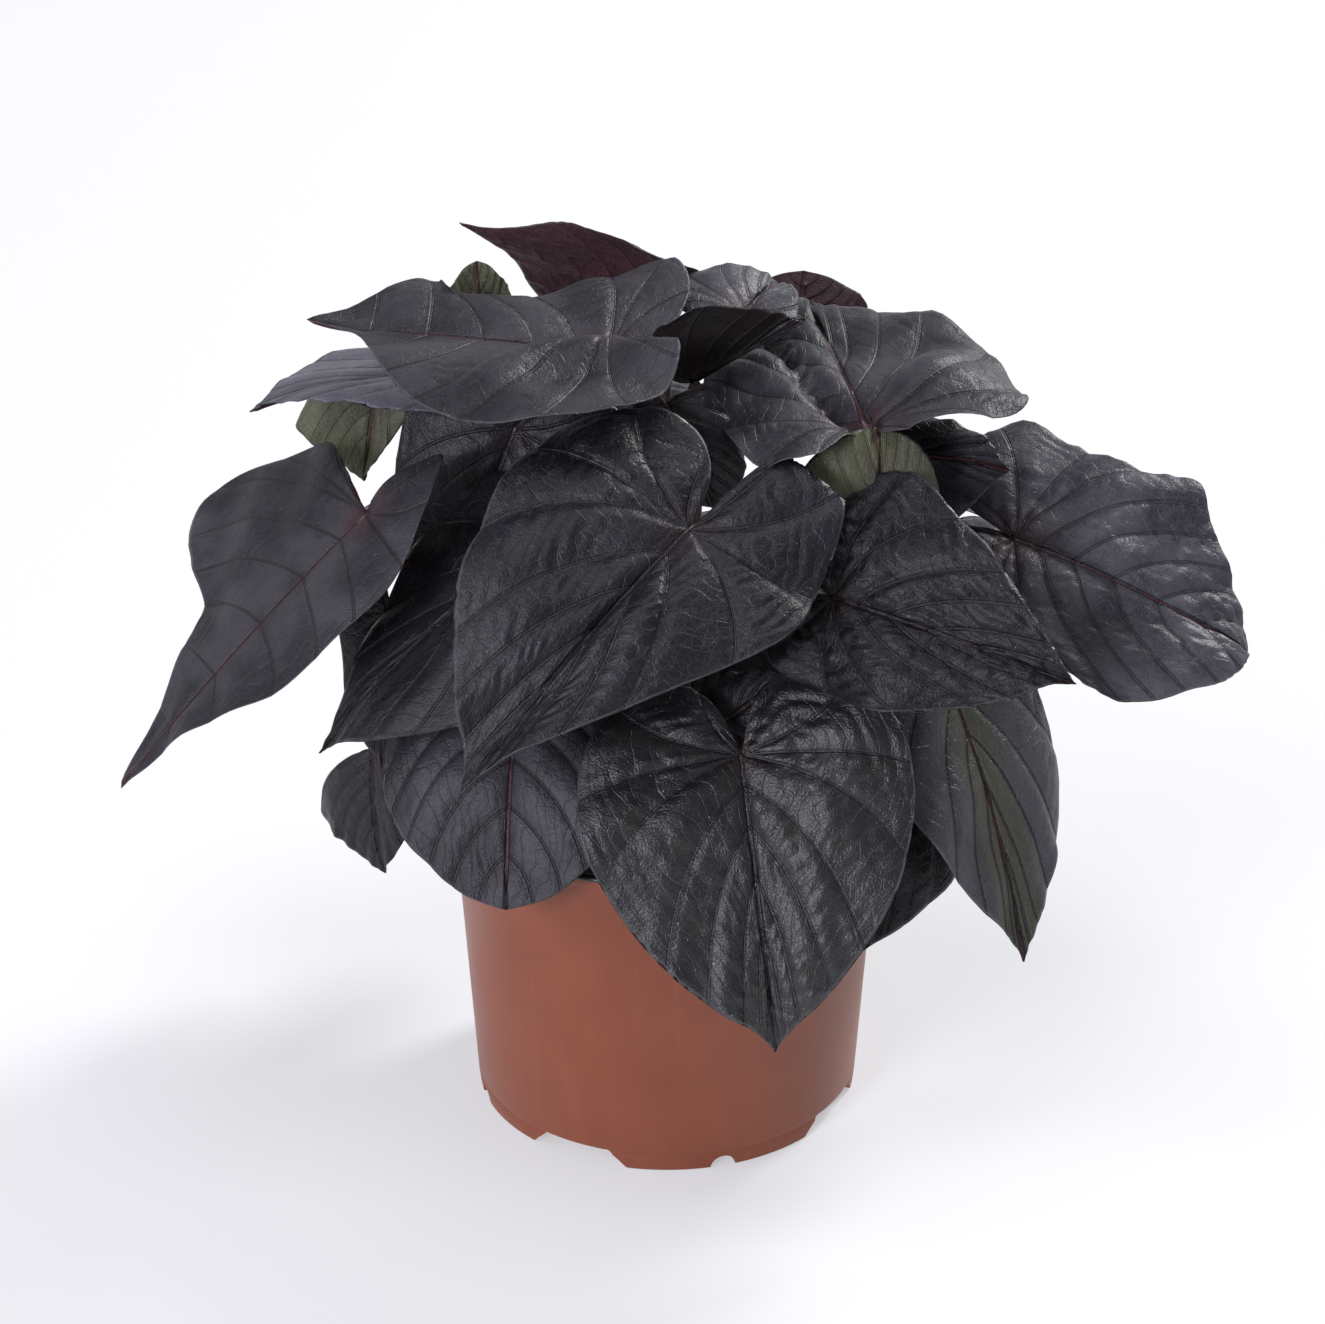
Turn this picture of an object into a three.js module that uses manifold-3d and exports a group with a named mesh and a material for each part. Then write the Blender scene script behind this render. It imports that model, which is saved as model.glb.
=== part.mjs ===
// A sweet potato vine with dark heart-shaped leaves, growing in a round nursery pot.
// Millimetres, +Z up. The origin is on the floor, under the middle of the whole plant's width and
// depth. Sizes below are given from the pot's own axis, which stands a little left and in front of it.
// The pot, the soil, each stem and each leaf with its stalk is a mesh of its own.
import * as THREE from "three";
import { mergeVertices } from "three/addons/utils/BufferGeometryUtils.js";
import Module from "manifold-3d";

const wasm = await Module();
wasm.setup();

// ---------------------------------------------------------------- driving dimensions
const GAP = 0.3; // clearance between pieces that touch
const POT_AXIS = [-5, -22.4, 0]; // where it stands from the origin

const POT = {
  rimRadius: 65, // outside, a 13 cm pot
  baseRadius: 58,
  height: 103,
  wall: 1.4,
  lip: 2.6, // width of the rolled rim
  footHeight: 6, // the base plate is held this far up
  footWidth: 6,
  feet: 4,
  footTurn: -73, // direction of the first foot's middle, degrees
  archBottom: 34, // width of the air gap between two feet, at the floor
  archTop: 21,
  notchRadius: 4, // half-round water notch in the middle of each foot
  drainRadius: 4.5,
  sides: 48,
};
const SOIL = { top: 91, bump: 1.6 };
const STEM = { radius: 3, sunk: 26, sides: 8, steps: 14 };
const STALK = { radius: 1.25, sides: 5, steps: 9, below: 1.1 }; // below: its axis under the blade
const BLADE = { thickness: 0.8, along: 10, across: [0, 0.42, 0.76, 1] };

// Halves of a leaf's outline, from the notch at the stalk round the lobe to the tip.
// x is a share of the half width, y a share of the length from stalk to tip.
const OUTLINES = {
  heart: [
    [0, 0], [0.12, -0.17], [0.36, -0.26], [0.7, -0.22], [0.94, -0.05], [1, 0.15],
    [0.93, 0.36], [0.73, 0.57], [0.44, 0.77], [0.16, 0.92], [0, 1],
  ],
  slim: [
    [0, 0], [0.1, -0.25], [0.3, -0.38], [0.58, -0.34], [0.84, -0.2], [0.97, -0.02],
    [0.88, 0.19], [0.64, 0.42], [0.36, 0.66], [0.13, 0.86], [0, 1],
  ],
  hooked: [
    [0, 0], [0, -0.16], [0.12, -0.21], [0.33, -0.22], [0.58, -0.18], [0.85, -0.05],
    [1, 0.1], [0.98, 0.3], [0.84, 0.52], [0.3, 0.77], [0, 1],
  ],
  tapered: [
    [0, 0], [0.12, -0.17], [0.36, -0.26], [0.7, -0.22], [0.94, -0.05], [1, 0.12],
    [0.86, 0.33], [0.66, 0.52], [0.42, 0.7], [0.18, 0.88], [0, 1],
  ],
  drawn: [
    [0, 0], [0.12, -0.17], [0.36, -0.26], [0.7, -0.22], [0.94, -0.05], [1, 0.15],
    [0.97, 0.36], [0.74, 0.54], [0.32, 0.7], [0.1, 0.85], [0, 1],
  ],
  shouldered: [
    [0, 0], [0.2, -0.05], [0.45, -0.08], [0.64, -0.06], [0.87, 0.15], [1, 0.28],
    [0.97, 0.41], [0.73, 0.48], [0.45, 0.53], [0.28, 0.7], [0, 1],
  ],
  cornered: [
    [0, 0], [0.15, -0.18], [0.5, -0.26], [0.88, -0.17], [0.9, 0.04], [0.86, 0.28],
    [1, 0.5], [0.76, 0.64], [0.5, 0.78], [0.28, 0.91], [0, 1],
  ],
  rolled: [
    [0, 0], [-0.02, -0.13], [0.05, -0.23], [0.3, -0.25], [0.62, -0.16], [0.88, 0.02],
    [1, 0.25], [0.84, 0.5], [0.52, 0.67], [0.14, 0.81], [0, 1],
  ],
  waisted: [
    [0, 0], [0.1, -0.09], [0.36, -0.19], [0.76, -0.2], [1, -0.12], [0.98, 0],
    [0.74, 0.14], [0.45, 0.34], [0.44, 0.55], [0.6, 0.7], [0, 1],
  ],
  blunt: [
    [0, 0], [0, -0.14], [0.22, -0.25], [0.62, -0.22], [0.88, -0.02], [0.9, 0.26],
    [1, 0.5], [0.88, 0.68], [0.62, 0.82], [0.34, 0.94], [0, 1],
  ],
};

// ---------------------------------------------------------------- stems
// Each stem is a list of points from the soil's surface up to its growing tip.
const STEMS = {
  stem_centre: [[2, 4, 91], [0, 8, 125], [4, 10, 160], [6, 8, 190]],
  stem_left: [[-20, -2, 91], [-32, -2, 115], [-42, 0, 140], [-50, 4, 165]],
  stem_right: [[22, -2, 91], [34, 0, 112], [46, 2, 138], [54, 6, 160]],
  stem_front: [[2, -22, 91], [0, -32, 112], [0, -38, 130], [2, -42, 146]],
  stem_back: [[4, 28, 91], [2, 42, 115], [2, 54, 140], [0, 60, 165]],
};

// ---------------------------------------------------------------- leaves
// base   where the stalk meets the blade          tip    the blade's point
// face   compass and height, in degrees, of the way the upper side looks
// half   width of the left and the right half     stalk  [stem, share of its height, via]
// arch   bend of the midrib from stalk to tip, in degrees; positive droops
// hook   bend of the last quarter; positive turns up
// lobe   droop of the two lobes behind the stalk
// fold   rise of the left and right half at the midrib; cup, how far each curls down again
// wave   height, number and start of the ripples along the margin
// ears   length of the two lobes                  even   share of the fold that is gone at the tip
// from   how far behind the base the stalk arrives; negative is from the tip's side
const USUAL = {
  arch: 25,
  hook: 0,
  lobe: 20,
  fold: [14, 14],
  cup: [35, 35],
  wave: [2, 1.5, 0],
  outline: ["heart", "heart"],
  ears: [1, 1],
  even: 0.3,
  from: 0.5,
};
const LEAVES = {
  // crown
  leaf_crown_left: {
    base: [-17, -6, 242], tip: [-104, 12, 246], face: [-90, 84], half: [48, 42],
    stalk: ["stem_centre", 0.95],
    arch: 10, hook: 30, lobe: -5, fold: [18, 20], cup: [30, 12], wave: [2, 2, 0.3],
    outline: ["rolled", "waisted"], even: 0.4,
  },
  leaf_crown_back_up: {
    base: [-1, 60, 229], tip: [-62, 64, 256], face: [72, 34], half: [34, 30],
    stalk: ["stem_centre", 0.75, [-7, 40, 208]],
    arch: 0, outline: ["drawn", "drawn"], ears: [0.3, 0.8],
  },
  leaf_crown_right: {
    base: [7, 3, 230], tip: [40, 9, 247], face: [-90, 80], half: [12, 27],
    stalk: ["stem_centre", 0.9, [9, 2, 212]],
    arch: 5, fold: [80, 100], cup: [20, 30], ears: [0.4, 0.3],
  },
  leaf_crown_down: {
    base: [0, -11, 229], tip: [15, -14, 197], face: [-70, 15], half: [15, 20],
    stalk: ["stem_centre", 0.7, [3, -1, 212]],
    fold: [35, 10], outline: ["blunt", "heart"], ears: [0.05, 0.5],
  },
  leaf_crown_mid: {
    base: [22, 18, 244], tip: [33, 42, 246], face: [-90, 70], half: [26, 14],
    stalk: ["stem_centre", 0.93, [3, 19, 236]],
    fold: [25, 15],
  },
  leaf_crown_back: {
    base: [40, 75, 214], tip: [42, 88, 231], face: [80, 25], half: [21, 21],
    stalk: ["stem_centre", 0.97],
    outline: ["blunt", "blunt"],
  },
  leaf_right_top: {
    base: [57, -20, 226], tip: [42, 60, 231], face: [-90, 88], half: [41, 49],
    stalk: ["stem_right", 0.99, [44, 4, 200]],
    arch: 5, lobe: -5, fold: [12, 28], cup: [30, 48], outline: ["blunt", "heart"], ears: [0.85, 0.5],
    from: -0.8,
  },
  // young olive leaves
  leaf_young_left: {
    base: [-86, 38, 208], tip: [-90, 32, 186], face: [-110, 25], half: [17, 20],
    stalk: ["stem_left", 0.99, [-70, 30, 185]],
    fold: [35, 35], ears: [0.8, 0.8],
  },
  leaf_young_back: {
    base: [-55, 59, 220], tip: [-57, 63, 244], face: [-90, 20], half: [10, 10],
    stalk: ["stem_back", 0.95, [-44, 60, 200]],
    outline: ["blunt", "blunt"],
  },
  leaf_young_right: {
    base: [63, 0, 209], tip: [99, -7, 207], face: [-80, 60], half: [16, 30],
    stalk: ["stem_right", 0.6, [72, 10, 180]],
    fold: [30, -45], from: 0,
  },
  leaf_young_mid: {
    base: [60, -20, 217], tip: [60, -16, 184], face: [-80, 25], half: [17, 24],
    stalk: ["stem_right", 0.6, [66, -8, 190]],
    outline: ["shouldered", "shouldered"], ears: [1.5, 1.5], from: 0,
  },
  // left side
  leaf_left_back: {
    base: [-54, 20, 225], tip: [-121, 5, 220], face: [90, 84], half: [26, 36],
    stalk: ["stem_left", 0.99],
  },
  leaf_left_big: {
    base: [-86, -22, 200], tip: [-158, -45, 123], face: [-153, 46], half: [31, 64],
    stalk: ["stem_left", 0.9],
    arch: 8, fold: [8, 4], cup: [25, 8], outline: ["hooked", "shouldered"], ears: [1.1, 1],
    from: -0.3,
  },
  leaf_left_shade: {
    base: [-38, -26, 190], tip: [-101, -40, 132], face: [-140, 40], half: [42, 30],
    stalk: ["stem_left", 0.7],
    outline: ["heart", "slim"], ears: [0.45, 0.7],
  },
  leaf_left_inner: {
    base: [-44, 7, 212], tip: [-62, 9, 179], face: [-100, 8], half: [30, 32],
    stalk: ["stem_centre", 0.85],
    ears: [0.35, 0.35],
  },
  leaf_left_low: {
    base: [-42, -28, 156], tip: [-46, -70, 97], face: [-105, 25], half: [40, 39],
    stalk: ["stem_left", 0.55],
    outline: ["blunt", "blunt"],
  },
  leaf_left_low_back: {
    base: [-89, 12, 106], tip: [-86, 10, 64], face: [-130, 15], half: [18, 24],
    stalk: ["stem_left", 0.45],
    outline: ["heart", "blunt"], ears: [0.5, 0.3],
  },
  leaf_left_under: {
    base: [-82, 0, 158], tip: [-84, -8, 108], face: [-115, 12], half: [20, 15],
    stalk: ["stem_left", 0.6],
    ears: [0.8, 0.8],
  },
  // front
  leaf_front_mid: {
    base: [6, -52, 209], tip: [-57, -95, 149], face: [-100, 38], half: [42, 50],
    stalk: ["stem_front", 0.97],
    arch: 30, lobe: -5, cup: [32, 35], outline: ["slim", "heart"], ears: [1.15, 0.95],
  },
  leaf_front_right: {
    base: [47, -48, 186], tip: [114, -74, 172], face: [-80, 26], half: [40, 27],
    stalk: ["stem_right", 0.75],
    outline: ["tapered", "heart"],
  },
  leaf_front_low: {
    base: [21, -58, 141], tip: [31, -92, 63], face: [-88, 18], half: [48, 48],
    stalk: ["stem_front", 0.8],
    arch: 30, lobe: 15, cup: [20, 22],
  },
  leaf_front_small: {
    base: [19, -43, 146], tip: [36, -42, 159], face: [-90, 30], half: [11, 9],
    stalk: ["stem_front", 0.99],
  },
  // between the stems
  leaf_inner_front: {
    base: [14, -12, 168], tip: [20, -16, 118], face: [-85, 10], half: [30, 30],
    stalk: ["stem_front", 0.6],
  },
  leaf_inner_back: {
    base: [-28, 27, 199], tip: [-27, 30, 150], face: [-90, 5], half: [20, 26],
    stalk: ["stem_back", 0.8],
  },
  // right side
  leaf_right_big: {
    base: [101, -5, 184], tip: [168, -20, 154], face: [-75, 42], half: [40, 34],
    stalk: ["stem_right", 0.95],
    arch: 30, hook: -30, wave: [4, 2, 0], outline: ["cornered", "blunt"], ears: [1.3, 1.3],
  },
  leaf_right_low: {
    base: [79, -22, 153], tip: [104, -55, 71], face: [-50, 20], half: [35, 34],
    stalk: ["stem_right", 0.6],
    ears: [0.9, 0.8],
  },
  leaf_right_shade: {
    base: [74, -22, 120], tip: [57, -50, 71], face: [-70, 20], half: [26, 10],
    stalk: ["stem_right", 0.35],
  },
  // back
  leaf_back_left_top: {
    base: [-28, 80, 174], tip: [-56, 136, 144], face: [120, 50], half: [40, 36],
    stalk: ["stem_back", 0.99],
    ears: [0.8, 0.8],
  },
  leaf_back_top: {
    base: [12, 66, 198], tip: [6, 134, 168], face: [90, 50], half: [38, 38],
    stalk: ["stem_back", 0.97],
  },
  leaf_back_right_top: {
    base: [52, 68, 190], tip: [90, 118, 158], face: [60, 50], half: [38, 36],
    stalk: ["stem_back", 0.85, [38, 50, 168]],
  },
  leaf_back_left: {
    base: [-84, 58, 158], tip: [-150, 86, 120], face: [160, 42], half: [43, 43],
    stalk: ["stem_left", 0.85, [-62, 40, 162]],
    ears: [0.5, 0.8],
  },
  leaf_back_right: {
    base: [98, 38, 170], tip: [156, 62, 124], face: [25, 42], half: [43, 43],
    stalk: ["stem_right", 0.9],
  },
  leaf_back_mid: {
    base: [0, 82, 150], tip: [4, 140, 100], face: [88, 35], half: [40, 40],
    stalk: ["stem_back", 0.8],
  },
  leaf_back_low_left: {
    base: [-50, 68, 132], tip: [-84, 104, 78], face: [128, 30], half: [40, 40],
    stalk: ["stem_back", 0.6],
  },
  leaf_back_low_right: {
    base: [58, 62, 140], tip: [96, 102, 82], face: [52, 30], half: [40, 40],
    stalk: ["stem_back", 0.65],
  },
};

// ---------------------------------------------------------------- helpers
const rad = THREE.MathUtils.degToRad;
const vec = (p) => new THREE.Vector3(...p);
const turnUp = (geometry) => geometry.rotateX(Math.PI / 2); // a lathe's axis is Y

// A closed geometry as a manifold-3d solid, in whatever order its faces were wound.
function solid(geometry) {
  const bare = geometry.clone();
  bare.deleteAttribute("normal");
  bare.deleteAttribute("uv");
  const merged = mergeVertices(bare, 1e-4);
  const triVerts = new Uint32Array(merged.index.array);
  const vertProperties = merged.attributes.position.array;
  const made = new wasm.Manifold(new wasm.Mesh({ numProp: 3, vertProperties, triVerts }));
  if (made.volume() > 0) return made;
  for (let i = 0; i < triVerts.length; i += 3) {
    [triVerts[i + 1], triVerts[i + 2]] = [triVerts[i + 2], triVerts[i + 1]];
  }
  return new wasm.Manifold(new wasm.Mesh({ numProp: 3, vertProperties, triVerts }));
}

function geometryOf(body) {
  const mesh = body.getMesh();
  return new THREE.BufferGeometry()
    .setAttribute("position", new THREE.BufferAttribute(mesh.vertProperties, 3))
    .setIndex(new THREE.BufferAttribute(mesh.triVerts, 1));
}

// A round bar of constant radius along a curve.
function bar(curve, radius, sides, steps) {
  const ring = new THREE.Shape();
  for (let i = 0; i < sides; i++) {
    const a = (2 * Math.PI * i) / sides;
    if (i) ring.lineTo(radius * Math.cos(a), radius * Math.sin(a));
    else ring.moveTo(radius, 0);
  }
  return new THREE.ExtrudeGeometry(ring, { extrudePath: curve, steps, bevelEnabled: false });
}

// ---------------------------------------------------------------- pot
function pot() {
  const { rimRadius: rim, baseRadius: base, height, wall, lip, footHeight, footWidth } = POT;
  const outside = (z) => base + ((rim - base) * z) / height;
  const profile = [
    [0, footHeight],
    [base - footWidth - 0.6, footHeight],
    [base - footWidth, 0],
    [base - 0.4, 0],
    [outside(0.6), 0.6],
    [outside(5), 5],
    [outside(5.6) - 0.35, 5.6],
    [outside(6.4), 6.4],
    [outside(50), 50],
    [outside(99.5), 99.5],
    [rim + 0.3, height - 2.6],
    [rim + 0.3, height - 1],
    [rim - 0.5, height - 0.1],
    [rim - lip + 0.6, height],
    [rim - lip, height - 0.8],
    [outside(92) - wall, 88],
    [outside(10) - wall, 10],
    [outside(7) - wall - 1.5, footHeight + wall],
    [0, footHeight + wall],
  ].map(([r, z]) => new THREE.Vector2(r, z));
  let body = solid(turnUp(new THREE.LatheGeometry(profile, POT.sides))).subtract(drain(0, 0));
  for (let i = 0; i < POT.feet; i++) {
    const middle = POT.footTurn + (360 * i) / POT.feet;
    const between = middle + 180 / POT.feet;
    body = body.subtract(notch(middle)).subtract(arch(between));
    body = body.subtract(drain(30, middle)).subtract(drain(30, between));
  }
  return geometryOf(body);
}

// The air gap between two feet, cut along the radius that points in a direction.
function arch(direction) {
  const low = POT.archBottom / 2;
  const high = POT.archTop / 2;
  const top = POT.footHeight - 0.1;
  const corners = [[-low, -1], [low, -1], [high, top], [-high, top]];
  const opening = new THREE.Shape(corners.map(([x, y]) => new THREE.Vector2(x, y)));
  const tunnel = new THREE.ExtrudeGeometry(opening, { depth: 30, bevelEnabled: false });
  return radial(tunnel, 40, direction);
}

// The half-round notch in the middle of a foot.
function notch(direction) {
  const round = new THREE.CylinderGeometry(POT.notchRadius, POT.notchRadius, 30, 16);
  return radial(round.rotateX(Math.PI / 2).translate(0, 0, 15), 40, direction);
}

// Lays a cutter that runs along its own Z out along a radius, its Y upwards.
function radial(geometry, start, direction) {
  return solid(geometry.translate(0, 0, start).rotateX(Math.PI / 2).rotateZ(rad(direction + 90)));
}

// A drain hole through the base plate.
function drain(distance, direction) {
  const hole = new THREE.CylinderGeometry(POT.drainRadius, POT.drainRadius, 12, 12);
  const a = rad(direction);
  hole.rotateX(Math.PI / 2).translate(distance * Math.cos(a), distance * Math.sin(a), POT.footHeight);
  return solid(hole);
}

// ---------------------------------------------------------------- soil
function soil() {
  const slope = (POT.rimRadius - POT.baseRadius) / POT.height;
  const inside = (z) => POT.baseRadius + slope * z - POT.wall - GAP;
  const floor = POT.footHeight + POT.wall + GAP;
  const rings = [60, 52, 44, 35, 26, 17, 8, 0];
  const profile = [
    [0, floor],
    [inside(7) - 2, floor],
    [inside(10), 10.5],
    [inside(SOIL.top - 4) - 0.2, SOIL.top - 4],
    ...rings.map((r) => [r, SOIL.top]),
  ].map(([r, z]) => new THREE.Vector2(r, z));
  const geometry = turnUp(new THREE.LatheGeometry(profile, 32));
  const at = geometry.attributes.position;
  for (let i = 0; i < at.count; i++) {
    if (at.getZ(i) < SOIL.top - 0.01) continue;
    at.setZ(i, SOIL.top + SOIL.bump * crumb(at.getX(i), at.getY(i)));
  }
  let body = solid(geometry);
  for (const name of Object.keys(STEMS)) {
    body = body.subtract(solid(bar(stemCurve(name), STEM.radius + GAP, STEM.sides, 18)));
  }
  return geometryOf(body);
}

// Uneven ground from two crossed waves, between -1 and 1.
function crumb(x, y) {
  return 0.5 * Math.sin(0.31 * x + 0.17 * y) + 0.5 * Math.sin(0.23 * y - 0.29 * x + 1.3);
}

// ---------------------------------------------------------------- stems
// A stem's axis, from its buried foot to its tip.
function stemCurve(name) {
  const [foot, ...rest] = STEMS[name].map(vec);
  const sunk = foot.clone().add(new THREE.Vector3(0, 0, -STEM.sunk));
  return new THREE.CatmullRomCurve3([sunk, foot, ...rest]);
}

// ---------------------------------------------------------------- one leaf
// The midrib seen from the side: y runs from stalk (0) to tip (1), z is up from the blade.
// It is scaled and turned so that its two ends lie on the chord from base to tip.
const SPINE = { from: -0.36, to: 1, steps: 68 };
function spineOf(leaf) {
  const step = (SPINE.to - SPINE.from) / SPINE.steps;
  const angleAt = (s) => {
    const hook = Math.max(0, (s - 0.75) / 0.25);
    const lobe = Math.max(0, -s / 0.25);
    return rad(-leaf.arch * (Math.max(s, 0) - 0.5) + leaf.hook * hook * hook + leaf.lobe * lobe);
  };
  const points = [];
  let y = 0;
  let z = 0;
  for (let i = 0; i <= SPINE.steps; i++) {
    const s = SPINE.from + i * step;
    points.push({ s, y, z, angle: angleAt(s) });
    y += step * Math.cos(angleAt(s + step / 2));
    z += step * Math.sin(angleAt(s + step / 2));
  }
  const along = (key, s) => {
    const t = THREE.MathUtils.clamp((s - SPINE.from) / step, 0, SPINE.steps - 1e-6);
    const i = Math.floor(t);
    return points[i][key] + (t - i) * (points[i + 1][key] - points[i][key]);
  };
  const start = { y: along("y", 0), z: along("z", 0) };
  const end = { y: along("y", 1) - start.y, z: along("z", 1) - start.z };
  const chord = vec(leaf.tip).distanceTo(vec(leaf.base));
  const length = chord / Math.hypot(end.y, end.z);
  const turn = -Math.atan2(end.z, end.y);
  return {
    length,
    at(s) {
      const py = along("y", s) - start.y;
      const pz = along("z", s) - start.z;
      return {
        y: length * (py * Math.cos(turn) - pz * Math.sin(turn)),
        z: length * (py * Math.sin(turn) + pz * Math.cos(turn)),
        angle: along("angle", s) + turn,
      };
    },
  };
}

// The blade's own axes: forward to the tip, up from its upper side, and right.
function axesOf(leaf) {
  const forward = vec(leaf.tip).sub(vec(leaf.base)).normalize();
  const [compass, height] = leaf.face.map(rad);
  const up = new THREE.Vector3().setFromSphericalCoords(1, Math.PI / 2 - height, compass);
  up.set(up.z, up.x, up.y); // that function measures from +Y, this one from +Z
  up.addScaledVector(forward, -up.dot(forward)).normalize();
  return { forward, up, right: new THREE.Vector3().crossVectors(forward, up) };
}

// The outline at u, from notch (0) to tip (1), on a smooth curve through the points of one half.
function margin(leaf, u, side) {
  const h = side < 0 ? 0 : 1;
  const outline = OUTLINES[leaf.outline[h]];
  const t = THREE.MathUtils.clamp(u, 0, 1) * (outline.length - 1);
  const i = Math.min(Math.floor(t), outline.length - 2);
  const shaped = (k) => {
    const [x, y] = outline[THREE.MathUtils.clamp(k, 0, outline.length - 1)];
    return [x, y < 0 ? y * leaf.ears[h] : y];
  };
  const [a, b, c, d] = [i - 1, i, i + 1, i + 2].map(shaped);
  const f = t - i;
  const smooth = (k) => {
    const bend = 2 * a[k] - 5 * b[k] + 4 * c[k] - d[k] + f * (3 * (b[k] - c[k]) + d[k] - a[k]);
    return b[k] + 0.5 * f * (c[k] - a[k] + f * bend);
  };
  return [smooth(0), smooth(1)];
}

// A point of the flat blade: u picks a side vein, v is the way along it from midrib to margin.
const VEIN_START = 0.46; // side veins before this u all leave the stalk's end
function flatPoint(leaf, u, v, side) {
  const start = Math.pow(Math.max(0, (u - VEIN_START) / (1 - VEIN_START)), 1.35);
  const [mx, my] = margin(leaf, u, side);
  const bendX = 0.6 * mx;
  const bendY = start + 0.35 * (my - start);
  const [p, q, r] = [(1 - v) * (1 - v), 2 * v * (1 - v), v * v];
  return [q * bendX + r * mx, p * start + q * bendY + r * my];
}

// The same point in space: folded up from the midrib, curled over, waved, and laid along the midrib.
function bladePoint(leaf, spine, axes, u, v, side) {
  const [x, y] = flatPoint(leaf, u, v, side);
  const h = side < 0 ? 0 : 1;
  const fold = rad(leaf.fold[h]) * (1 - leaf.even * Math.max(y, 0));
  const cup = rad(leaf.cup[h]);
  const across = (side * leaf.half[h] * (Math.sin(fold) - Math.sin(fold - cup * x))) / cup;
  const [height, waves, start] = leaf.wave;
  const ripple = Math.sin(Math.PI * u) * Math.sin(2 * Math.PI * (waves * u + start) + 1.9 * h);
  const curl = (leaf.half[h] * (Math.cos(fold - cup * x) - Math.cos(fold))) / cup;
  const lift = curl + height * v * v * ripple;
  const rib = spine.at(y);
  return vec(leaf.base)
    .addScaledVector(axes.right, across)
    .addScaledVector(axes.forward, rib.y - lift * Math.sin(rib.angle))
    .addScaledVector(axes.up, rib.z + lift * Math.cos(rib.angle));
}

// The blade's normal; on the midrib both halves share the spine's own.
function bladeNormal(leaf, spine, axes, u, v, side) {
  if (v === 0 || u === 0 || u === 1) {
    const { angle } = spine.at(flatPoint(leaf, u, v, side)[1]);
    return axes.up.clone().multiplyScalar(Math.cos(angle)).addScaledVector(axes.forward, -Math.sin(angle));
  }
  const step = 0.01;
  const at = (s, t) => bladePoint(leaf, spine, axes, s, t, side);
  const alongMargin = at(u + step, v).sub(at(u - step, v));
  const outward = at(u, Math.min(v + step, 1)).sub(at(u, v - step));
  return alongMargin.cross(outward).normalize().multiplyScalar(-side);
}

// A closed thin blade: the upper side's grid, the same grid under it, and a wall round the margin.
// Both sides are split along the same diagonals.
function bladeGeometry(leaf, spine, axes) {
  const rows = BLADE.along;
  const cols = BLADE.across.length - 1;
  const positions = [];
  const index = [];
  const layer = (side, offset) => {
    const grid = [];
    for (let i = 0; i <= rows; i++) {
      grid.push(BLADE.across.map((v) => {
        const p = bladePoint(leaf, spine, axes, i / rows, v, side);
        p.addScaledVector(bladeNormal(leaf, spine, axes, i / rows, v, side), offset);
        return positions.push(p.x, p.y, p.z) / 3 - 1;
      }));
    }
    return grid;
  };
  const strip = (near, far, i, a, b, flip) => {
    const [p, q, r, s] = [near[i][a], near[i + 1][a], far[i + 1][b], far[i][b]];
    index.push(...(flip ? [p, s, r, p, r, q] : [p, q, r, p, r, s]));
  };
  for (const side of [-1, 1]) {
    const top = layer(side, BLADE.thickness / 2);
    const under = layer(side, -BLADE.thickness / 2);
    for (let i = 0; i < rows; i++) {
      for (let j = 0; j < cols; j++) {
        strip(top, top, i, j, j + 1, side > 0);
        strip(under, under, i, j, j + 1, side < 0);
      }
      strip(top, under, i, cols, cols, side > 0);
    }
  }
  return new THREE.BufferGeometry()
    .setAttribute("position", new THREE.Float32BufferAttribute(positions, 3))
    .setIndex(index);
}

// The stalk leaves the stem's side, bends to meet the blade from below and runs on under its midrib.
function stalkCurve(leaf, spine, axes) {
  const [stem, share, via] = leaf.stalk;
  const path = stemCurve(stem);
  const ground = 1 / STEMS[stem].length; // where the curve leaves the soil
  const t = Math.min(ground + share * (1 - ground), 0.999);
  const on = path.getPoint(t);
  const tangent = path.getTangent(t);
  const base = vec(leaf.base);
  const out = (via ? vec(via) : base.clone()).sub(on);
  out.addScaledVector(tangent, -out.dot(tangent)).normalize();
  const start = on.addScaledVector(out, STEM.radius + GAP);
  const reach = base.distanceTo(start);
  const bend = start.clone().addScaledVector(out, 0.22 * reach).addScaledVector(tangent, 0.35 * reach);
  const arrive = axes.forward.clone().multiplyScalar(-leaf.from).addScaledVector(axes.up, -0.85);
  const near = Math.min(18, 0.3 * base.distanceTo(via ? vec(via) : start));
  const end = base.clone().addScaledVector(axes.up, -STALK.below);
  const rib = spine.at(0.06);
  const under = end.clone().addScaledVector(axes.forward, rib.y).addScaledVector(axes.up, rib.z);
  return new THREE.CatmullRomCurve3([
    start,
    start.clone().addScaledVector(out, 3),
    via ? vec(via) : bend,
    end.clone().addScaledVector(arrive.normalize(), near),
    end,
    under,
  ]);
}

function leafGeometry(leaf) {
  const spine = spineOf(leaf);
  const axes = axesOf(leaf);
  const stalk = bar(stalkCurve(leaf, spine, axes), STALK.radius, STALK.sides, STALK.steps);
  return geometryOf(solid(bladeGeometry(leaf, spine, axes)).add(solid(stalk)));
}

// ---------------------------------------------------------------- assembly
const COLOURS = {
  terracotta: { color: 0x92563f, roughness: 0.55, metalness: 0 },
  soil: { color: 0x231c18, roughness: 0.95, metalness: 0 },
  stem: { color: 0x4a3038, roughness: 0.6, metalness: 0 },
  leaf: { color: 0x3a363b, roughness: 0.5, metalness: 0 },
  youngLeaf: { color: 0x4b4b37, roughness: 0.5, metalness: 0 },
};

const group = new THREE.Group();
function place(name, geometry, slot) {
  const mesh = new THREE.Mesh(geometry, new THREE.MeshStandardMaterial(COLOURS[slot]));
  mesh.name = name;
  mesh.position.set(...POT_AXIS);
  group.add(mesh);
}

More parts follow.
